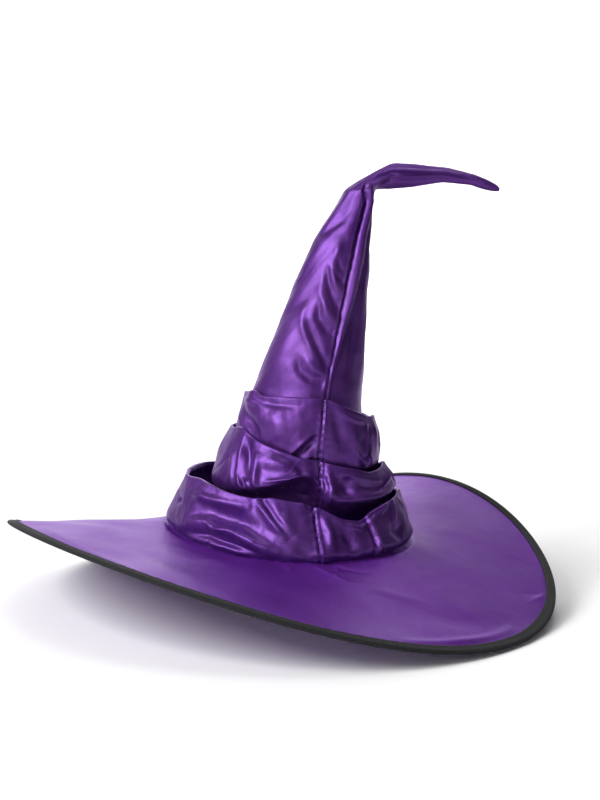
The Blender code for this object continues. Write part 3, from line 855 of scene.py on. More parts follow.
def stitch_points(
    middle: np.ndarray, along: np.ndarray, side: np.ndarray, up: np.ndarray, length: float, radius: float
) -> np.ndarray:
    """Points of many stitches, each a short low arch of four rings of five points.

    Args:
        middle: Middle of each stitch on the cloth, (count, 3).
        along: Unit direction of each stitch.
        side: Unit direction across each stitch.
        up: Unit direction out of the cloth.
        length: Length of a stitch.
        radius: Radius of the thread.

    Returns:
        Array (count, 4, 5, 3).
    """
    place = np.array([-0.5, -0.22, 0.22, 0.5])
    lift = np.array([-0.6, 0.55, 0.55, -0.6])
    turn = np.linspace(0.0, 2.0 * math.pi, 5, endpoint=False)
    spine = middle[:, None] + place[None, :, None] * length * along[:, None]
    spine = spine + lift[None, :, None] * radius * up[:, None]
    turn = turn[:, None]
    ring = np.cos(turn) * side[:, None, None] + np.sin(turn) * up[:, None, None]
    return spine[:, :, None] + radius * ring


def stitch_mesh(name: str, points: np.ndarray) -> bpy.types.Object:
    """One mesh of many capped stitches from stitch_points.

    Args:
        name: Name of the object.
        points: Array (count, rings, points, 3).

    Returns:
        The object.
    """
    count, rings, sides = points.shape[:3]
    each = rings * sides
    r, s = np.meshgrid(np.arange(rings - 1), np.arange(sides), indexing="ij")
    after = (s + 1) % sides
    quad = np.stack([r * sides + s, r * sides + after, (r + 1) * sides + after, (r + 1) * sides + s], axis=-1)
    quad = quad.reshape(-1, 4)
    base = (np.arange(count) * each)[:, None, None]
    quads = (base + quad[None]).reshape(-1, 4)
    first = (base[:, 0] + np.arange(sides)[None, ::-1]).reshape(-1, sides)
    last = (base[:, 0] + (each - sides) + np.arange(sides)[None]).reshape(-1, sides)
    mesh = bpy.data.meshes.new(name)
    faces = quads.tolist() + first.tolist() + last.tolist()
    mesh.from_pydata(points.reshape(-1, 3).tolist(), [], faces)
    layer = mesh.uv_layers.new(name="cloth")
    spread = np.zeros((len(mesh.loops), 2), dtype=np.float32)
    spread[:, 0] = np.arange(len(mesh.loops)) % 4 * THREAD_RADIUS
    layer.data.foreach_set("uv", spread.ravel())
    mesh.shade_smooth()
    build = bmesh.new()
    build.from_mesh(mesh)
    bmesh.ops.recalc_face_normals(build, faces=build.faces)
    build.to_mesh(mesh)
    build.free()
    return place(name, mesh)


@dataclass
class Fold:
    """One fold of the crown: an outer wall from its foot to a rolled lip, and the hem turned in behind it.

    The rings run from the foot to the lip. Each one has keys of (direction in degrees, radius in mm, height in mm
    over the floor) round the fold's own centre line, which leans towards +X, and its place on the way up.
    """

    finishes: Finishes
    name: str
    body: str
    tier: str
    rings: tuple[tuple[float, tuple[tuple[float, float, float], ...]], ...]
    centre_at: float
    centre_x: float
    lean: float
    seam: tuple[float, float, float]
    inside: "Fold | Spire"
    inner_body: str
    pocket_heights: tuple[float, float]
    creases: tuple[Crease, ...]
    seed: int
    crumple: float = 0.30
    soften: float = 2.4
    seam_depth: float = 1.6
    columns: int = 480
    wall_rows: int = 72
    roll: float = 1.5
    lining_gap: float = 2.2 * MM
    play: float = 2.8  # room in mm between the pocket's foot and the piece that stands inside
    ledge: float = 15.0  # mm of cloth turned in under that piece
    sag: float = 2.9
    tack_lift: float = 1.2 * MM
    tack_length: float = 3.4 * MM
    tack_thread: float = 0.28 * MM
    CRUMPLES: ClassVar[tuple[tuple[float, float, int, float, bool], ...]] = (
        # (wavelength in mm, share of the crumple's height, count, stretch, folded)
        (30.0, 1.0, 14, 1.5, False), (24.0, 1.6, 6, 1.5, True), (8.0, 0.30, 5, 1.3, True),
    )

    def centre(self, height: np.ndarray) -> np.ndarray:
        """X of the fold's centre line at a height, all in mm."""
        return self.centre_x + self.lean * (height - self.centre_at)

    def seam_at(self, share: np.ndarray) -> np.ndarray:
        """Direction of the seam in degrees, from the foot (0) over the middle to the lip (1)."""
        return np.interp(share, (0.0, 0.5, 1.0), self.seam)

    def wall(self) -> tuple[np.ndarray, np.ndarray, np.ndarray]:
        """The outer wall without its creases, through its rings.

        Returns:
            Radius and height of each place in mm, (rows, columns), and the rows' shares of the way up.
        """
        angles = degrees_round(self.columns)
        share = np.linspace(0.0, 1.0, self.wall_rows)
        rounding = np.interp([at for at, _ in self.rings], (0.0, 1.0), (2.2 * self.soften, self.soften))
        lines = [around(keys, angles, width) for (_, keys), width in zip(self.rings, rounding)]
        form = through(lines, tuple(at for at, _ in self.rings), share)
        return form[..., 0], form[..., 1], share

    def ring(self, rise: float, angles: np.ndarray) -> np.ndarray:
        """The plain wall at a distance above its foot.

        Args:
            rise: Distance above the foot in mm.
            angles: The fold's own directions in degrees.

        Returns:
            Array (columns, 3) in mm.
        """
        radius, height, _ = self.wall()
        level = height[0] + rise
        low = np.clip((height < level).sum(axis=0) - 1, 0, self.wall_rows - 2)[None]
        z0, z1 = np.take_along_axis(height, low, 0)[0], np.take_along_axis(height, low + 1, 0)[0]
        r0, r1 = np.take_along_axis(radius, low, 0)[0], np.take_along_axis(radius, low + 1, 0)[0]
        r = r0 + (r1 - r0) * np.clip((level - z0) / (z1 - z0), 0.0, 1.0)
        x, y = on_drum(angles, 1.0)
        return np.stack([self.centre(level) + r * x, r * y, level], axis=-1)

    def pocket_foot(self, angles: np.ndarray) -> np.ndarray:
        """Where the pocket ends: level, a little outside the foot of the piece that stands inside, in mm."""
        low, high = (self.inside.ring(rise, angles) for rise in (2.0, 10.0))
        middle = low[:, :2].mean(axis=0)
        arm = low[:, :2] - middle
        reach = np.maximum(np.linalg.norm(arm, axis=1), np.linalg.norm(high[:, :2] - middle, axis=1)) + self.play
        way = arm / np.linalg.norm(arm, axis=1, keepdims=True)
        level = np.full((self.columns, 1), self.pocket_heights[1])
        return np.concatenate([middle + way * reach[:, None], level], axis=1)

    def cloth_lift(self, angles: np.ndarray, radius: np.ndarray, height: np.ndarray, share: np.ndarray) -> np.ndarray:
        """Lift of the cloth in mm: the creases, the seam and the fine crumples.

        The seam is a groove between two welts, drawn in a little at every stitch. The crumples are smooth waves
        and waves folded into flat facets.

        Args:
            angles: Direction of each place in degrees.
            radius: Radius of each place in mm.
            height: Height of each place in mm.
            share: Share of the way up of each row.

        Returns:
            Array of the lift of each place.
        """
        mean = float(radius.mean())
        lift = crease_field(self.creases, angles, height, mean)
        x, y = on_drum(angles, mean)
        for step, (length, part, count, stretch, folded) in enumerate(self.CRUMPLES):
            waves = Ripples(length, part * self.crumple, self.seed + step, count, stretch, folded)
            lift = lift + waves.at(x, y, height)
        off = np.radians(half_turn(angles - self.seam_at(share)[:, None])) * radius
        lift = lift - self.seam_depth * hump(off, 0.0, 0.9) + 0.7 * hump(off, 1.9, 1.2) + 0.5 * hump(off, -2.0, 1.4)
        tug = np.exp(-np.abs(off) / 5.0) * np.sin(height * 1.05 + 0.8 * np.sin(height * 0.37) + 0.10 * np.abs(off))
        return lift + 0.34 * tug

    def points(self) -> tuple[np.ndarray, np.ndarray]:
        """The whole fold: creased wall with its rolled lip, and the pocket behind it.

        The lip turns in on a half circle. From there the cloth falls to the foot of the piece that stands inside,
        first along the wall and then away from it, and turns in under it, so that the pocket between them is closed.

        Returns:
            Two arrays (rows, columns, 3) in metres, the wall with its lip and the pocket.
        """
        angles = degrees_round(self.columns)
        radius, height, share = self.wall()
        a = np.repeat(angles[None], self.wall_rows, axis=0)
        lift = self.cloth_lift(a, radius, height, share)
        calm = ease(0.0, 0.06, share)[:, None]
        x, y = np.cos(np.radians(a)), np.sin(np.radians(a))
        base = np.stack([self.centre(height) + radius * x, radius * y, height], axis=-1)
        wall = base + normals_of(base, True) * (lift * calm)[..., None]
        inward = np.stack([-x[-1], -y[-1], np.zeros(self.columns)], axis=-1)
        up = np.array([0.0, 0.0, 1.0])
        size = self.roll * (1.0 + 0.35 * np.sin(np.radians(angles) * 7.0 + self.seed))[:, None]
        turn = np.linspace(0.0, math.pi, 9)[1:, None, None]
        lip = wall[-1] + inward * size * (1.0 - np.cos(turn)) + up * size * np.sin(turn)
        foot = self.pocket_foot(angles)
        fall = np.linspace(0.0, 1.0, 20)[:, None, None]
        path = np.concatenate([fall**2.3, fall**2.3, fall], axis=-1)
        sag = self.sag + Ripples(30.0, 0.5, self.seed + 3).at(*on_drum(angles, 70.0))[:, None]
        pocket = lip[-1] + (foot - lip[-1]) * path - inward * sag * np.sin(math.pi * fall)
        ledge = foot + inward * self.ledge * np.linspace(0.25, 1.0, 4)[:, None, None]
        return np.concatenate([wall, lip], axis=0) * MM, np.concatenate([pocket, ledge], axis=0) * MM

    def build(self) -> None:
        """Make the fold's satin, its pocket, its interlining and the thread tack on its seam."""
        points, pocket = self.points()
        node = f"crown_{self.tier}"
        item = round_cloth(f"{self.name}_satin", points, SATIN_CLOTH)
        dress(item, self.finishes.satin, self.body)
        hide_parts(node)
        inner = round_cloth(f"{self.name}_pocket", pocket, SATIN_CLOTH)
        dress(inner, self.finishes.satin)
        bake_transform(inner)
        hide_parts(node)
        wall = points[: self.wall_rows]
        self.interlining(wall[:-8])
        self.tack(wall)
        LOG.info("%s: satin, pocket, interlining and tack", self.name)

    def interlining(self, wall: np.ndarray) -> None:
        """A stiffer cloth behind the wall: the same shape, moved in towards the fold's centre."""
        x, y = on_drum(degrees_round(self.columns), 1.0)
        inward = np.stack([-x, -y, np.zeros(self.columns)], axis=-1)
        inner = (wall + inward * self.lining_gap)[2::2, ::2]
        item = round_cloth(f"{self.name}_stiffening", inner, STIFFENING)
        dress(item, self.finishes.lining, self.body)
        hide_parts(f"{self.tier}_interlining")

    def tack(self, wall: np.ndarray) -> None:
        """Three short bars of thread across the seam, just under the lip."""
        angles = degrees_round(self.columns)
        column = int(np.argmin(np.abs(half_turn(angles - self.seam[2]))))
        rows = [-3, -5, -7]
        up = normals_of(wall, True)[rows, column]
        side = np.roll(wall, -1, axis=1)[rows, column] - np.roll(wall, 1, axis=1)[rows, column]
        side /= np.linalg.norm(side, axis=-1, keepdims=True)
        middle = wall[rows, column] + self.tack_lift * up
        bars = stitch_points(middle, side, np.cross(up, side), up, self.tack_length, self.tack_thread)
        item = stitch_mesh(f"{self.name}_tack_threads", bars)
        dress(item, self.finishes.thread, self.body)
        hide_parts(f"{self.tier}_tack")


@dataclass
class Spire:
    """The upper cone and its drooping tip: one tube between an outer and an inner edge line.

    Keys are (share of the way, x in mm, height in mm) of the edge on the outside of the bend and of the edge on
    its inside. At each share the cross-section is an ellipse on the two edge points as its long axis.
    """

    finishes: Finishes
    outer: tuple[tuple[float, float, float], ...]
    inner: tuple[tuple[float, float, float], ...]
    depth: tuple[tuple[float, float], ...]
    columns: int = 264
    rows: int = 186
    lined_rows: int = 105
    cone_rows: int = 124
    lining_gap: float = 2.8 * MM
    creases: tuple[Crease, ...] = ()
    ROUNDING: ClassVar[float] = 0.55
    CLIMB: ClassVar[float] = 2.67  # mm of height for each hundredth of the way, near the foot
    BEND_START: ClassVar[tuple[float, float, float]] = (0.052, 0.0, 0.322)
    BEND_END: ClassVar[tuple[float, float, float]] = (0.080, 0.0, 0.340)
    CRUMPLES: ClassVar[tuple[Ripples, ...]] = (
        Ripples(34.0, 0.30, 71, stretch=1.6), Ripples(26.0, 0.46, 72, 6, 1.6, True), Ripples(9.0, 0.08, 73, 5, 1.4, True),
    )
    SEAM_ALONG: ClassVar[tuple[float, ...]] = (132.0, 184.0, 212.0, 257.0, 297.0, 320.0, 332.0, 342.0, 430.0)
    SEAM_TURN: ClassVar[tuple[float, ...]] = (-74.0, -72.0, -69.0, -66.0, -64.0, -60.0, -85.0, -130.0, -110.0)

    def ring(self, rise: float, angles: np.ndarray) -> np.ndarray:
        """The plain tube at a distance above its foot, for directions in degrees, as an array (columns, 3) in mm."""
        share = np.linspace(0.0, 20.0, 41)
        row = int(round(rise / self.CLIMB * 2.0))
        outer, inner = (smooth_line(edge, share, self.ROUNDING)[row] for edge in (self.outer, self.inner))
        across = 0.5 * (1.0 + np.cos(np.radians(angles)))[:, None]
        side = self.depth[0][1] * np.sin(np.radians(angles))
        middle = outer + (inner - outer) * across
        return np.stack([middle[:, 0], side, middle[:, 1]], axis=-1)

    def points(self) -> np.ndarray:
        """The tube with its seam, its pleat and its dents, in metres."""
        s = np.linspace(0.0, 100.0, self.rows)
        outer, inner = (smooth_line(edge, s, self.ROUNDING) for edge in (self.outer, self.inner))
        depth = smooth_line(self.depth, s, 2.0)[:, 0]
        angles = degrees_round(self.columns)[None, :]
        turn = np.radians(angles)
        across = 0.5 * (1.0 + np.cos(turn))
        x = outer[:, :1] + (inner[:, :1] - outer[:, :1]) * across
        z = outer[:, 1:] + (inner[:, 1:] - outer[:, 1:]) * across
        y = depth[:, None] * np.sin(turn)
        base = stacked(x, y, z)
        size = 0.5 * np.hypot(outer[:, 0] - inner[:, 0], outer[:, 1] - inner[:, 1])[:, None]
        middle = 0.5 * (outer + inner)
        run = np.concatenate([[0.0], np.cumsum(np.linalg.norm(np.diff(middle, axis=0), axis=-1))])
        lift = self.relief(angles, middle[0, 1] + run[:, None], size)
        return (base + normals_of(base, True) * lift[..., None]) * MM

    def relief(self, angles: np.ndarray, along: np.ndarray, size: np.ndarray) -> np.ndarray:
        """Lift of the cloth in mm: the seam's groove, the pleat beside it, the creases and fine crumples.

        The seam opens into a slit towards the kink, and the pleat beside it is widest there.

        Args:
            angles: Direction round the tube in degrees, 0 on the inside of the bend.
            along: Distance along the tube's middle line, which on the cone is the height over the floor in mm.
            size: Half width of the tube at each row, in mm.

        Returns:
            Array of the lift of each place.
        """
        seam = np.interp(along, self.SEAM_ALONG, self.SEAM_TURN)
        off = np.radians(half_turn(angles - seam)) * size
        cone = 1.0 - ease(326.0, 340.0, along)
        opening = ease(205.0, 290.0, along)
        slit, gap = 0.9 + 1.8 * opening, 0.8 + 0.7 * opening
        width = 1.6 + 4.8 * ease(180.0, 262.0, along) * (1.0 - 0.4 * ease(270.0, 326.0, along))
        pleat_height = 0.9 + 2.4 * ease(180.0, 250.0, along)
        lift = 0.6 * hump(off, -1.9, 1.1) - slit * hump(off, 0.0, gap)
        lift = lift + pleat_height * hump(off, gap + 0.75 * width, 0.55 * width)
        lift = (lift - 1.2 * hump(off, gap + 2.1 * width, 0.5 * width)) * cone
        tug = np.exp(-np.abs(off) / 6.0) * np.sin(along * 0.62 + 0.9 * np.sin(along * 0.21)) * (off < 0.0)
        scale = np.minimum(1.0, size / 20.0)
        crumple = 0.40 * tug + sum(waves.at(*on_drum(angles, 30.0), along) for waves in self.CRUMPLES)
        shape = crease_field(self.creases, angles, along, size)
        return lift * np.minimum(1.0, size / 9.0) + shape * np.minimum(1.0, 0.35 + size / 30.0) + crumple * scale

    def build(self) -> None:
        """Make the satin of the cone and tip, and the interlining of the cone."""
        points = self.points()
        last = points[-1].mean(axis=0)
        points = np.concatenate([points, np.repeat(last[None, None], self.columns, axis=1)], axis=0)
        size = (row_length(points[: self.cone_rows]), column_length(points))
        item = grid_mesh("spire_satin", points, True, size)
        weld(item)
        thicken(item)
        dress(item, self.finishes.satin)
        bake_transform(item)
        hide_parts("crown_upper_cone", "crown_tip")
        inner = points[: self.lined_rows]
        for _ in range(6):
            inner = (np.roll(inner, 3, axis=1) + inner + np.roll(inner, -3, axis=1)) / 3.0
        inner = (inner - normals_of(inner, True) * self.lining_gap)[1::2, ::3]
        size = cut_size(inner)
        lining = grid_mesh("spire_stiffening", inner, True, size)
        thicken(lining, STIFFENING)
        dress(lining, self.finishes.lining, "upper_cone")
        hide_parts("upper_cone_interlining")
        LOG.info("spire: satin and interlining")


@dataclass
class HeadBand:
    """The ribbon inside the opening and its blank label."""

    finishes: Finishes
    height: float = 0.025
    radius: float = 0.0914
    lean_in: float = 0.0075
    set_back: float = 0.0006
    drop: float = 0.0014
    cloth: float = 0.0007
    label_cloth: float = 0.0003
    columns: int = 360

    def build(self) -> None:
        """Make the ribbon and the label."""
        angles = degrees_round(self.columns)
        turn = np.radians(angles)
        land = Form.land(angles)
        share = np.linspace(0.0, 1.0, 14)
        wave = Ripples(24.0, 0.25, 31).at(*on_drum(angles, 92.0)) * MM
        radius = self.radius - self.lean_in * share[:, None] + wave[None] * share[:, None]
        x = CROWN_CENTRE_X - self.set_back + radius * np.cos(turn)[None]
        y = radius * np.sin(turn)[None]
        points = stacked(x, y, land[None] - self.drop + self.height * share[:, None])
        size = cut_size(points)
        band = grid_mesh("head_band_ribbon", points, True, size)
        thicken(band, self.cloth)
        dress(band, self.finishes.ribbon, "brim")
        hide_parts("head_band")
        self.label()

    def label(self) -> None:
        """A blank woven label, folded once on the real hat but drawn as one bowed sheet, hanging from the band's seam
        at the back.
        """
        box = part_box("care_label")
        low, high = Vector(box[0]), Vector(box[1])
        across = np.linspace(low.x, high.x, 26)[None, :]
        down = np.linspace(0.0, 1.0, 18)[:, None]
        bow = 0.6 * MM * np.sin(np.linspace(0.0, math.pi, 26))[None, :]
        y = 0.5 * (low.y + high.y) - bow - 0.8 * MM * np.sin(down * math.pi)
        z = high.z - MM - (high.z - low.z - 2.0 * MM) * down
        size = (float(high.x - low.x), float(high.z - low.z))
        item = grid_mesh("care_label_tape", stacked(across, y, z)[::-1], False, size)
        thicken(item, self.label_cloth)
        dress(item, self.finishes.label, "brim")
        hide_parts("care_label")
        LOG.info("head band and label")


@dataclass(frozen=True)
class Lamp:
    """One soft rectangular light: where it stands, the point it faces, its width and height, and its watts."""

    name: str
    place: tuple[float, float, float]
    aim: tuple[float, float, float]
    size: tuple[float, float]
    power: float

    def build(self) -> None:
        """Make the light."""
        data = bpy.data.lights.new(self.name, "AREA")
        data.shape = "RECTANGLE"
        data.size, data.size_y = self.size
        data.energy = self.power
        item = place(self.name, data)
        item.location = self.place
        item.rotation_euler = (Vector(self.aim) - Vector(self.place)).to_track_quat("-Z", "Y").to_euler()


@dataclass
class Studio:
    """A plain pale floor, soft lights, and the camera."""

    lens: float = 60.2
    yaw: float = 0.58
    pitch: float = 5.01
    roll: float = -1.41
    place: tuple[float, float, float] = (0.0, -1.0537, 0.2513)
    cove: float = 1.2
    cove_at: float = 1.6
    reach: float = 6.0
    sky: tuple[tuple[str, float], ...] = (("From Min", -1.0), ("From Max", 1.0), ("To Min", 0.24), ("To Max", 0.06))
    lamps: tuple[Lamp, ...] = (
        Lamp("key", (-1.3, -1.0, 1.3), (0.0, 0.0, 0.12), (1.0, 1.0), 44.0),
        Lamp("top", (0.1, 0.1, 1.7), (0.0, 0.0, 0.1), (0.9, 0.9), 6.0),
        Lamp("strip", (-0.9, -1.2, 0.5), (0.0, 0.0, 0.15), (0.25, 1.0), 8.0),
        Lamp("fill", (1.3, -1.3, 0.6), (0.0, 0.0, 0.12), (0.4, 0.8), 0.8),
        Lamp("back", (-0.3, 2.0, 1.6), (0.0, 2.5, 0.6), (2.4, 1.0), 56.0),
    )

    def camera(self) -> None:
        """The camera, level with the crown and looking slightly down."""
        data = bpy.data.cameras.new("camera")
        data.lens = self.lens
        data.clip_start = 0.05
        item = place("camera", data)
        turn = Matrix.Rotation(math.radians(-self.yaw), 4, "Z")
        tilt = Matrix.Rotation(math.radians(90.0 - self.pitch), 4, "X")
        spin = Matrix.Rotation(math.radians(-self.roll), 4, "Z")
        item.matrix_world = Matrix.Translation(self.place) @ turn @ tilt @ spin
        bpy.context.scene.camera = item

    def floor(self) -> None:
        """The floor, which rises behind in a quarter round and a wall."""
        along = np.linspace(-self.reach, self.reach, 25)
        turn = np.linspace(0.0, 0.5 * math.pi, 16)
        y = np.concatenate([[-self.reach, 0.0], self.cove_at + self.cove * np.sin(turn), [self.cove_at + self.cove]])
        z = np.concatenate([[0.0, 0.0], self.cove * (1.0 - np.cos(turn)), [4.0]])
        points = stacked(along[None], y[:, None], z[:, None])
        floor = grid_mesh("floor", points, False, (2.0 * self.reach, 2.0 * self.reach))
        paint = bpy.data.materials.new("pale_floor")
        paint.use_nodes = True
        shader = paint.node_tree.nodes["Principled BSDF"]
        shader.inputs["Base Color"].default_value = (0.90, 0.90, 0.90, 1.0)
        shader.inputs["Roughness"].default_value = 0.9
        floor.data.materials.append(paint)

    def world(self) -> None:
        """A plain grey world, lighter on the side of the key light."""
        world = bpy.data.worlds.new("studio")
        world.use_nodes = True
        tree = world.node_tree
        back = tree.nodes["Background"]
        way = tree.nodes.new("ShaderNodeTexCoord")
        split = tree.nodes.new("ShaderNodeSeparateXYZ")
        ramp = tree.nodes.new("ShaderNodeMapRange")
        for entry, value in self.sky:
            ramp.inputs[entry].default_value = value
        tree.links.new(way.outputs["Generated"], split.inputs[0])
        tree.links.new(split.outputs["X"], ramp.inputs["Value"])
        tree.links.new(ramp.outputs["Result"], back.inputs["Strength"])
        back.inputs["Color"].default_value = (0.97, 0.97, 1.0, 1.0)
        bpy.context.scene.world = world
        bpy.context.scene.view_settings.view_transform = "Standard"

    def build(self) -> None:
        """Make the floor, the world, the lights and the camera."""
        self.floor()
        self.world()
        for lamp in self.lamps:
            lamp.build()
        self.camera()
        LOG.info("studio")


def lower_fold(finishes: Finishes, inside: Fold) -> Fold:
    """The wide fold that is sewn to the brim, round the fold inside it."""
    ring = degrees_round(36)
    foot, puff = (
        tuple((float(a), radius, float(h) + rise) for a, h in zip(ring, Form.land(ring) / MM))
        for radius, rise in ((94.6, 0.2), (96.8, 3.4))
    )
    belly = (
        (-178, 91.5, 81.0), (-155, 92.5, 80.0), (-128, 91.0, 76.0), (-110, 91.5, 72.0), (-92, 93.0, 69.0),
        (-76, 91.0, 66.0), (-58, 94.0, 63.0), (-40, 94.5, 66.0), (-20, 94.0, 68.5), (0, 93.0, 69.0),
        (40, 92.5, 71.0), (90, 92.5, 75.0), (140, 92.0, 80.0),
    )
    lip = (
        (-178, 84.0, 97.5), (-165, 84.8, 100.5), (-156, 85.0, 99.0), (-149, 84.0, 99.8), (-128, 84.5, 94.8),
        (-109, 82.0, 90.6), (-104, 80.5, 91.8), (-92, 81.5, 89.5), (-83, 80.5, 88.0), (-77, 76.0, 84.0),
        (-72, 80.5, 84.0), (-65, 86.0, 77.0), (-52, 87.5, 73.5), (-44, 85.5, 79.0), (-28, 85.5, 84.5),
        (-7, 86.6, 90.0), (8, 86.2, 87.0), (30, 84.6, 84.0), (60, 84.6, 93.0), (85, 82.0, 89.0),
        (110, 84.0, 97.0), (135, 83.0, 101.0), (160, 84.5, 100.0), (172, 84.0, 99.0),
    )
    creases = (
        soft(3.2, 2.6, (-150, 91), (-132, 88), (-112, 86)),
        soft(8.0, -6.6, (-137, 80), (-118, 77), (-104, 70)),
        soft(4.2, 4.6, (-143, 70), (-131, 73), (-123, 68), (-114, 68), (-105, 61), (-96, 56)),
        soft(1.8, 1.4, (-132, 72), (-127, 67), (-118, 69), (-112, 64)),
        soft(3.2, -3.8, (-144, 62), (-128, 64), (-114, 59), (-104, 55)),
        sharp(1.2, 0.9, (-130, 58), (-120, 57), (-108, 53.5)),
        pleat(3.0, -3.4, (-107, 92), (-102, 84), (-97, 76), (-92, 68)),
        soft(5.0, 2.8, (-96, 82), (-88, 68)),
        sharp(1.4, 1.6, (-103, 86), (-98, 77), (-93, 69)),
        soft(2.2, -2.6, (-163, 83), (-158, 82)),
        sharp(1.1, -1.2, (-129, 60), (-129, 51)),
        soft(4.0, -2.0, (-88, 60), (-80, 54)),
        sharp(1.6, 1.5, (-86, 91), (-79, 82)),
        sharp(1.3, -1.3, (-84, 87), (-78, 83)),
        sharp(1.5, 1.3, (-72, 86), (-79, 80)),
        soft(3.6, 3.4, (-73, 80), (-71, 68), (-71, 58)),
        soft(4.5, -3.8, (-63, 70), (-60, 56)),
        soft(2.0, 1.6, (-70, 80), (-62, 73), (-54, 70.5), (-46, 75), (-38, 80)),
        pleat(2.2, 3.6, (-48, 78), (-47, 64), (-49, 51)),
        soft(7.0, -4.4, (-36, 70), (-24, 60)),
        sharp(2.0, 3.2, (-27, 88), (-38, 79)),
        sharp(1.8, 3.0, (-24, 86), (-31, 70)),
        sharp(1.8, 1.6, (-16, 86), (-12, 74)),
        soft(4.5, 1.6, (-52, 62), (-44, 54)),
        soft(6.0, 2.4, (20, 84), (35, 58)),
        soft(6.0, -2.8, (45, 88), (58, 66)),
        pleat(4.0, 2.6, (80, 88), (98, 62)),
        soft(6.0, -2.6, (105, 90), (120, 72)),
        sharp(2.2, 2.0, (112, 95), (126, 80)),
        soft(5.0, 2.4, (130, 96), (150, 66)),
        pleat(3.0, -2.2, (152, 96), (166, 72)),
        soft(6.0, -2.0, (165, 90), (178, 70)),
        sharp(2.0, 1.8, (60, 90), (72, 74)),
        sharp(1.8, 1.6, (10, 84), (2, 66)),
    )
    return Fold(
        finishes, "lower_fold", body="brim", tier="lower_tier",
        rings=((0.0, foot), (0.09, puff), (0.52, belly), (1.0, lip)),
        centre_at=46.0, centre_x=4.8, lean=0.0, seam=(SEAM_ANGLE, -77.0, -77.5),
        inside=inside, inner_body="middle_tier", pocket_heights=(74.0, 61.5), creases=creases, seed=101,
    )


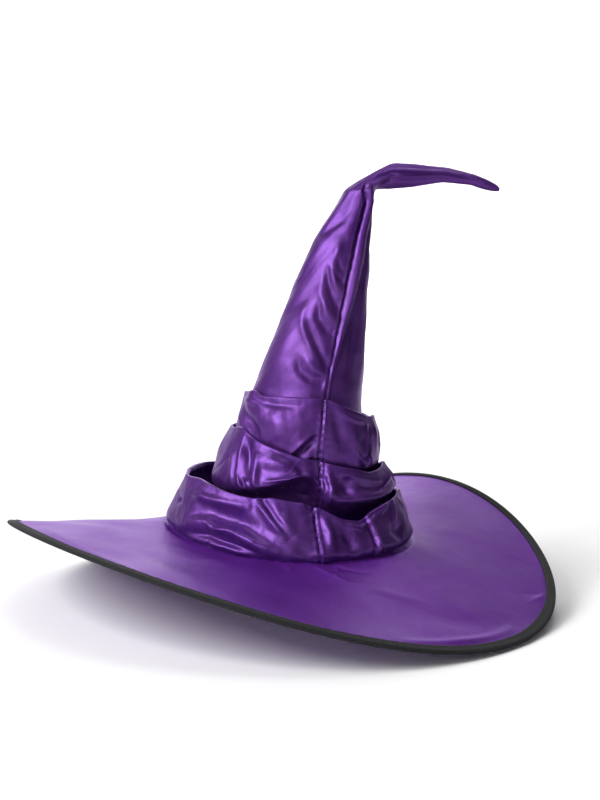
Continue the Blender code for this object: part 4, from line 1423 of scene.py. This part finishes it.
def middle_fold(finishes: Finishes, inside: Fold) -> Fold:
    """The fold that stands in the lower one: its bottom hangs over in a swag each side of the seam."""
    foot = (
        (-180, 62.0, 73.0), (-140, 61.0, 72.0), (-110, 58.0, 71.0), (-85, 54.0, 69.0), (-50, 59.0, 64.0),
        (-10, 61.0, 63.0), (60, 60.0, 66.0), (120, 61.0, 72.0),
    )
    tuck = (
        (-180, 65.5, 88.0), (-150, 65.0, 88.0), (-122, 62.5, 90.5), (-100, 61.0, 97.0), (-86, 58.0, 103.0),
        (-79, 54.0, 84.0), (-72, 63.5, 80.0), (-50, 65.0, 82.0), (-15, 65.5, 85.0), (30, 65.0, 84.0),
        (90, 64.0, 88.0), (140, 65.0, 89.0),
    )
    swag = (
        (-180, 71.5, 93.0), (-150, 72.0, 93.0), (-122, 72.0, 95.5), (-108, 71.5, 100.0), (-95, 70.5, 104.0),
        (-85, 68.0, 109.0), (-80, 58.0, 96.0), (-74, 69.0, 87.0), (-50, 72.5, 88.5), (-15, 71.6, 91.0),
        (30, 70.2, 90.0), (90, 70.0, 94.0), (140, 71.5, 95.0),
    )
    belly = (
        (-180, 69.5, 116.0), (-150, 69.0, 115.0), (-125, 69.5, 113.0), (-105, 68.5, 112.0), (-90, 67.0, 113.0),
        (-80, 60.0, 106.0), (-70, 67.5, 100.0), (-45, 70.5, 98.0), (-20, 70.0, 101.0), (0, 69.0, 100.0),
        (45, 68.0, 100.0), (90, 67.5, 107.0), (135, 68.5, 113.0),
    )
    lip = (
        (-177, 62.0, 137.0), (-162, 61.5, 136.5), (-148, 62.0, 138.5), (-128, 63.5, 130.5), (-105, 63.5, 122.0),
        (-94, 63.5, 118.5), (-81, 57.5, 117.0), (-77, 59.0, 116.0), (-62, 64.5, 112.5), (-42, 66.0, 106.5),
        (-30, 65.0, 108.0), (-8, 62.5, 111.5), (6, 61.5, 107.0), (35, 62.0, 108.0), (60, 60.5, 116.0),
        (90, 61.5, 118.0), (115, 60.5, 127.0), (140, 61.5, 130.0), (165, 62.0, 136.0),
    )
    creases = (
        soft(3.6, -4.4, (-136, 130), (-131, 118), (-127, 106)),
        sharp(1.8, 2.2, (-141, 132), (-138, 118), (-136, 104)),
        soft(3.0, 2.6, (-147, 122), (-141, 106), (-138, 95)),
        sharp(1.2, -1.1, (-168, 103), (-157, 110), (-146, 121)),
        sharp(1.3, 2.6, (-135, 106), (-129, 94)),
        sharp(1.1, -2.4, (-131, 104), (-126, 94)),
        sharp(1.2, 2.4, (-128, 104), (-122, 95)),
        soft(3.0, 3.2, (-124, 120), (-121, 104), (-119, 96)),
        soft(4.5, 2.4, (-117, 118), (-100, 113)),
        soft(3.6, -3.4, (-97, 116), (-88, 109)),
        sharp(1.1, 1.8, (-114, 103), (-100, 106), (-90, 110)),
        sharp(1.1, -2.0, (-110, 100), (-98, 103), (-88, 107)),
        sharp(1.2, 1.6, (-118, 99), (-108, 101), (-98, 104)),
        soft(3.0, 3.6, (-75, 112), (-72, 98), (-73, 86)),
        soft(4.8, -4.4, (-65, 106), (-60, 94)),
        soft(2.2, 1.5, (-72, 110), (-60, 108), (-46, 104)),
        soft(3.8, -3.6, (-52, 99), (-34, 97), (-18, 99)),
        sharp(2.0, 3.2, (-10, 109), (-22, 101), (-34, 95)),
        sharp(1.8, 1.8, (-8, 108), (-5, 94)),
        soft(2.4, 1.4, (-68, 89), (-40, 90), (-16, 92)),
        sharp(1.4, 1.4, (-84, 116), (-78, 108)),
        soft(4.0, 2.4, (20, 106), (38, 88)),
        soft(5.0, -2.6, (55, 112), (70, 92)),
        pleat(3.2, 2.6, (88, 116), (108, 92)),
        soft(5.0, -2.4, (120, 122), (138, 100)),
        soft(4.0, 2.2, (150, 132), (168, 100)),
        sharp(1.8, 1.8, (100, 118), (116, 100)),
        sharp(1.6, 1.6, (45, 108), (52, 92)),
        sharp(1.6, -1.5, (138, 128), (150, 108)),
        sharp(1.6, 1.4, (172, 128), (178, 106)),
    )
    return Fold(
        finishes, "middle_fold", body="middle_tier", tier="middle_tier",
        rings=((0.0, foot), (0.30, tuck), (0.42, swag), (0.70, belly), (1.0, lip)),
        centre_at=90.0, centre_x=14.4, lean=0.075, seam=(-76.0, -79.5, -80.5),
        inside=inside, inner_body="top_tier", pocket_heights=(106.0, 92.5), creases=creases, seed=202,
        seam_depth=1.2,
    )


def top_fold(finishes: Finishes, inside: Spire) -> Fold:
    """The narrow fold that stands in the middle one."""
    foot = (
        (-180, 50.5, 106.0), (-120, 50.0, 102.0), (-80, 47.0, 99.0), (-40, 50.0, 95.0), (0, 50.5, 94.0),
        (60, 50.0, 97.0), (120, 50.0, 103.0),
    )
    swag = (
        (-180, 56.5, 128.0), (-140, 57.0, 124.0), (-110, 56.0, 119.0), (-92, 55.0, 117.0), (-81, 51.5, 114.0),
        (-70, 55.0, 112.0), (-45, 57.5, 108.0), (-20, 57.5, 107.0), (0, 57.5, 107.0), (60, 56.0, 111.0),
        (120, 56.0, 119.0),
    )
    belly = (
        (-180, 56.0, 148.0), (-150, 57.0, 146.0), (-120, 57.5, 144.0), (-98, 57.0, 143.0), (-81, 54.0, 141.0),
        (-60, 56.5, 137.0), (-30, 57.0, 132.0), (0, 56.5, 130.0), (60, 55.5, 134.0), (120, 55.5, 141.0),
    )
    lip = (
        (-178, 52.5, 164.8), (-164, 52.0, 164.2), (-150, 52.5, 166.5), (-138, 52.0, 163.0), (-122, 52.5, 164.2),
        (-98, 51.5, 163.0), (-84, 50.5, 163.4), (-79, 47.5, 162.5), (-73, 50.0, 162.5), (-62, 52.5, 157.5),
        (-44, 53.5, 151.5), (-28, 53.0, 148.5), (-10, 52.0, 148.5), (2, 51.0, 144.5), (35, 51.5, 147.0),
        (60, 50.0, 150.0), (90, 51.5, 152.0), (120, 50.5, 159.0), (150, 52.0, 161.0),
    )
    creases = (
        soft(10.0, 1.8, (-128, 150), (-102, 136)),
        soft(4.0, -3.6, (-158, 152), (-144, 144), (-132, 137)),
        sharp(1.4, 1.8, (-166, 146), (-152, 138), (-138, 131)),
        soft(2.4, 1.4, (-166, 160), (-150, 160), (-136, 158)),
        soft(2.6, -1.2, (-140, 161), (-120, 159), (-100, 159)),
        soft(3.4, -4.4, (-97, 121), (-90, 129), (-85, 136)),
        sharp(1.6, 2.4, (-104, 121), (-95, 131), (-87, 139)),
        sharp(1.4, 1.2, (-92, 118), (-84, 124)),
        soft(4.5, -2.2, (-72, 156), (-66, 142), (-62, 130)),
        soft(2.6, 1.6, (-66, 155), (-52, 149), (-38, 146)),
        soft(4.0, 1.8, (-54, 142), (-48, 122)),
        sharp(1.4, 2.6, (-38, 142), (-38, 128), (-42, 116)),
        sharp(1.3, -2.6, (-33, 142), (-33, 126), (-37, 116)),
        sharp(1.2, 2.6, (-49, 123), (-41, 113)),
        sharp(1.1, -2.4, (-45, 122), (-37, 113)),
        sharp(1.2, 2.2, (-34, 122), (-30, 112)),
        soft(3.0, 1.6, (-24, 144), (-20, 122)),
        sharp(1.6, 1.5, (-8, 142), (-4, 118)),
        soft(4.0, 2.0, (15, 142), (30, 120)),
        soft(4.5, -2.2, (50, 148), (64, 124)),
        pleat(3.0, 2.2, (84, 150), (100, 128)),
        soft(4.5, -2.0, (118, 156), (134, 134)),
        soft(3.6, 2.0, (146, 158), (165, 136)),
        sharp(1.6, 1.4, (70, 148), (78, 130)),
        sharp(1.6, -1.4, (160, 158), (172, 140)),
    )
    return Fold(
        finishes, "top_fold", body="top_tier", tier="top_tier",
        rings=((0.0, foot), (0.30, swag), (0.66, belly), (1.0, lip)),
        centre_at=125.0, centre_x=16.8, lean=0.06, seam=(-80.5, -80.5, -79.5),
        inside=inside, inner_body="upper_cone", pocket_heights=(144.0, 128.5), creases=creases, seed=303,
        crumple=0.24, seam_depth=1.1,
    )


def spire(finishes: Finishes) -> Spire:
    """The upper cone and the tip."""
    outer = (
        (0.0, -31.0, 134.0), (12.0, -27.0, 166.0), (24.0, -13.5, 205.5), (36.0, 3.5, 250.0), (46.0, 18.0, 284.0),
        (55.0, 36.5, 315.0), (58.0, 42.0, 325.0), (62.0, 51.5, 331.5), (66.5, 64.0, 339.0), (70.5, 77.5, 346.0),
        (76.0, 97.0, 345.5), (83.0, 121.0, 343.5), (90.0, 143.5, 338.5), (95.0, 155.0, 333.8), (98.5, 161.0, 330.5),
        (100.0, 162.5, 328.5),
    )
    inner = (
        (0.0, 60.0, 130.0), (12.0, 59.5, 160.0), (24.0, 60.5, 205.0), (36.0, 62.0, 252.0), (46.0, 63.0, 284.0),
        (55.0, 64.5, 315.0), (58.0, 65.0, 323.5), (62.0, 66.0, 325.0), (66.5, 69.0, 325.4), (70.5, 76.0, 325.6),
        (76.0, 94.0, 327.5), (83.0, 118.0, 332.0), (90.0, 139.5, 330.3), (95.0, 150.5, 327.0), (98.5, 158.5, 325.8),
        (100.0, 162.0, 326.2),
    )
    depth = (
        (0.0, 45.0), (12.0, 43.0), (24.0, 36.5), (36.0, 28.5), (46.0, 22.0), (55.0, 13.5), (62.0, 9.5),
        (70.0, 7.0), (80.0, 5.2), (90.0, 4.2), (97.0, 3.2), (100.0, 1.2),
    )
    creases = (
        soft(3.4, -2.6, (-77, 176), (-92, 179), (-106, 186), (-110, 193)),
        soft(2.6, 1.6, (-76, 182), (-90, 187), (-102, 195)),
        soft(2.6, -2.6, (-75, 188), (-90, 203), (-105, 216), (-117, 228)),
        soft(3.2, 1.8, (-84, 188), (-98, 203), (-114, 220), (-124, 236)),
        soft(2.8, -2.4, (-72, 213), (-83, 216), (-98, 226), (-102, 238)),
        soft(3.0, 2.0, (-73, 222), (-90, 232), (-108, 250)),
        soft(2.6, -2.4, (-72, 232), (-84, 242), (-98, 256), (-104, 264)),
        soft(3.0, 2.0, (-70, 246), (-84, 252), (-98, 268)),
        soft(2.2, -1.8, (-70, 256), (-80, 256), (-92, 262)),
        sharp(1.4, -1.4, (-70, 260), (-82, 264), (-92, 272)),
        soft(3.4, 1.6, (-92, 272), (-98, 286)),
        soft(8.0, 1.6, (-140, 176), (-120, 214)),
        soft(6.0, -1.6, (-158, 226), (-128, 240), (-112, 262)),
        soft(4.0, -1.2, (-150, 290), (-110, 306)),
        sharp(1.4, 1.0, (-166, 254), (-156, 257)),
        sharp(1.5, 1.4, (-78, 168), (-68, 186)),
        soft(4.0, -1.8, (-52, 184), (-44, 226), (-36, 262)),
        soft(6.0, 1.0, (-22, 176), (-14, 240)),
        soft(6.0, -2.4, (60, 170), (90, 226)),
        soft(5.0, 2.2, (92, 190), (120, 240)),
        pleat(3.6, 2.0, (130, 200), (104, 262)),
        soft(5.0, 1.8, (30, 190), (50, 260)),
        soft(3.4, -1.8, (66, 240), (84, 290)),
        sharp(1.8, 1.5, (110, 176), (140, 206)),
        soft(1.6, 3.4, (-122, 344), (-114, 362), (-108, 392), (-104, 426)),
        soft(2.6, -3.8, (-84, 350), (-78, 372), (-74, 404), (-74, 426)),
        sharp(1.0, 2.0, (-112, 350), (-106, 380), (-102, 420)),
        soft(2.2, 3.6, (-70, 338), (-88, 346), (-84, 356)),
        soft(1.8, -3.4, (-100, 340), (-108, 350), (-102, 360)),
        soft(1.6, -3.0, (-62, 344), (-70, 356)),
        pleat(2.0, -2.4, (110, 350), (96, 390), (88, 424)),
    )
    return Spire(finishes, outer, inner, depth, creases=creases)


def main() -> None:
    """Build the hat and the studio, in order."""
    logging.basicConfig(level=logging.INFO, format="%(name)s %(message)s")
    finishes = Finishes()
    Studio().build()
    Brim(finishes).build()
    HeadBand(finishes).build()
    cone = spire(finishes)
    top = top_fold(finishes, cone)
    middle = middle_fold(finishes, top)
    for piece in (lower_fold(finishes, middle), middle, top, cone):
        piece.build()
    bpy.context.view_layer.update()


if __name__ == "__main__":
    main()
